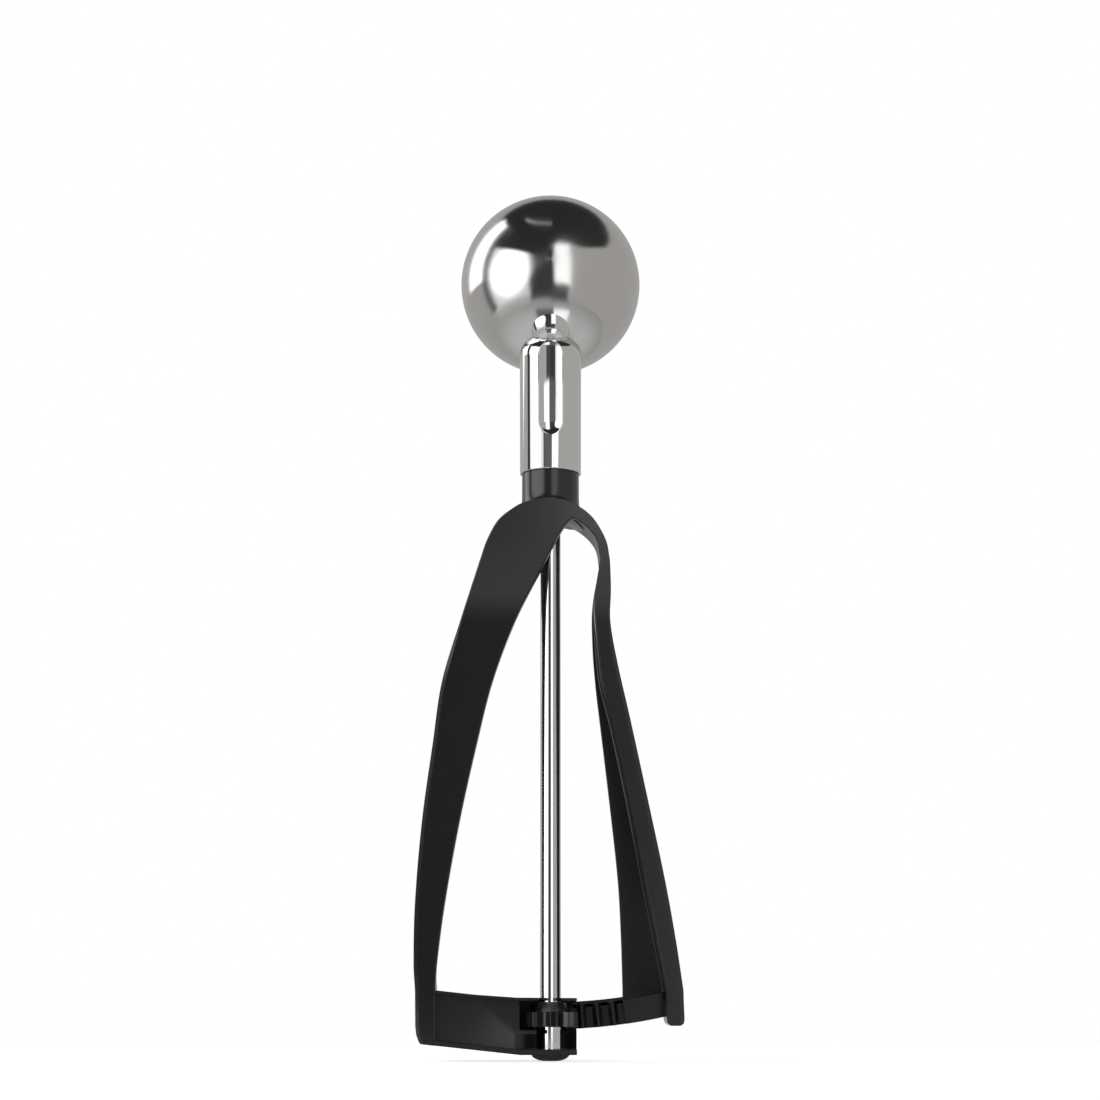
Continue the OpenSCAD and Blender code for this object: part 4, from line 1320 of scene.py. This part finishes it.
def build_stage(sizes):
    """A white room whose walls, ceiling, soft boxes and dark gaps only the metal sees."""
    sides = 96
    ground = new_piece("floor", [(FLOOR_REACH * math.cos(a), FLOOR_REACH * math.sin(a), 0)
                                 for a in np.linspace(0, math.tau, sides + 1)[:-1]],
                       [list(range(sides))], white_floor())
    white_world(0.5)
    warm = (1.0, 0.985, 0.965)
    card("ceiling", (-180, 180), ceiling_edge, 0.03, soft=4, far=2400)
    card("wall_right", (22, 185), (-52, 60), sizes.wall, soft=6, far=2900, tint=warm)
    card("wall_left", (-190, -85), (-52, 60), sizes.wall, soft=6, far=2900, tint=warm, low_gain=0.9)
    card("wall_low", (-95, 30), (-58, -22), sizes.wall, soft=9, far=2850, tint=warm, low_gain=1.5)
    card("dark_gap", (-30, 6), (-34, 36), 0.055, soft=4, far=2800)
    card("dark_gap_low", (0, 27), (-38, -10), 0.08, soft=4, far=2790)
    card("dark_strip", (-98, -83), (-26, 50), 0.04, soft=3, far=2780)
    card("softbox_tall", (-127, -96), (5, 57), sizes.softbox, soft=3, far=2300)
    card("softbox_wide", (-89, -20), (-26, 42), sizes.softbox, soft=14, far=2450, oval=True)
    card("window", (5, 27), (-14, 39), sizes.window, soft=3, far=2300)
    card("window_low", (4, 28), (-30, 2), 1.6, soft=2, far=45)
    card("gap_low", (-22, 5), (-30, 2), 0.15, soft=2, far=46)
    card("ceiling_streak", (-75, 5), (67, 72), 0.6, soft=2, far=2300)
    set_camera(sizes)


# ---- Add-on ----

class SCOOP_OT_stage(bpy.types.Operator):
    """Sets the white floor, the soft light and the camera"""
    bl_idname = "scoop.stage"
    bl_label = "Stage"

    def execute(self, context):
        build_stage(context.scene.scoop_stage)
        return {"FINISHED"}


class SCOOP_OT_bowl(bpy.types.Operator):
    """Builds the spun bowl"""
    bl_idname = "scoop.bowl"
    bl_label = "Bowl"

    def execute(self, context):
        build_bowl(context.scene.scoop_bowl)
        return {"FINISHED"}


class SCOOP_OT_ferrule(bpy.types.Operator):
    """Builds the fluted ferrule"""
    bl_idname = "scoop.ferrule"
    bl_label = "Ferrule"

    def execute(self, context):
        build_ferrule(context.scene.scoop_ferrule)
        return {"FINISHED"}


class SCOOP_OT_handle(bpy.types.Operator):
    """Builds the bow handle and its collar"""
    bl_idname = "scoop.handle"
    bl_label = "Handle"

    def execute(self, context):
        build_handle(context.scene.scoop_handle)
        return {"FINISHED"}


class SCOOP_OT_base(bpy.types.Operator):
    """Builds the base's shell and the bearing cap"""
    bl_idname = "scoop.base"
    bl_label = "Base"

    def execute(self, context):
        build_base(context.scene.scoop_base)
        return {"FINISHED"}


class SCOOP_OT_drive(bpy.types.Operator):
    """Builds the rod, the pinion and the rack"""
    bl_idname = "scoop.drive"
    bl_label = "Drive"

    def execute(self, context):
        sizes = context.scene.scoop_drive
        build_rod(drawn_chrome("bright_rod", context.scene.scoop_ferrule.chrome, 0.08))
        build_pinion(sizes)
        build_rack(sizes)
        return {"FINISHED"}


class SCOOP_OT_fittings(bpy.types.Operator):
    """Gives the blade, its washers, the rivet and the bush their finishes"""
    bl_idname = "scoop.fittings"
    bl_label = "Blade and fittings"

    def execute(self, context):
        steel = satin_sheet("satin_sheet", (0.6, 0.6, 0.6))
        for node in ("scraper_blade", "blade_washer", "tip_rivet", "tip_washer"):
            paint(node, steel)
        paint("bowl_bush", turned_brass())
        return {"FINISHED"}


OPERATORS = (SCOOP_OT_stage, SCOOP_OT_bowl, SCOOP_OT_ferrule, SCOOP_OT_handle, SCOOP_OT_base,
             SCOOP_OT_drive, SCOOP_OT_fittings)


class SCOOP_PT_panel(bpy.types.Panel):
    """Sizes, colours and steps of the scoop"""
    bl_label = "Ice Cream Scoop"
    bl_idname = "SCOOP_PT_panel"
    bl_space_type = "VIEW_3D"
    bl_region_type = "UI"
    bl_category = "Scoop"

    def draw(self, context):
        for name, group in GROUPS.items():
            box = self.layout.box()
            box.label(text=name.replace("scoop_", "").capitalize())
            for key in group.__annotations__:
                box.prop(getattr(context.scene, name), key)
        for operator in OPERATORS:
            self.layout.operator(operator.bl_idname)


def register():
    for name, group in GROUPS.items():
        bpy.utils.register_class(group)
        setattr(bpy.types.Scene, name, PointerProperty(type=group))
    for entry in (*OPERATORS, SCOOP_PT_panel):
        bpy.utils.register_class(entry)


def unregister():
    for entry in (SCOOP_PT_panel, *OPERATORS):
        bpy.utils.unregister_class(entry)
    for name, group in GROUPS.items():
        delattr(bpy.types.Scene, name)
        bpy.utils.unregister_class(group)


def main():
    register()
    bpy.ops.scoop.stage()
    bpy.ops.scoop.bowl()
    bpy.ops.scoop.ferrule()
    bpy.ops.scoop.handle()
    bpy.ops.scoop.base()
    bpy.ops.scoop.drive()
    bpy.ops.scoop.fittings()


if __name__ == "__main__":
    main()
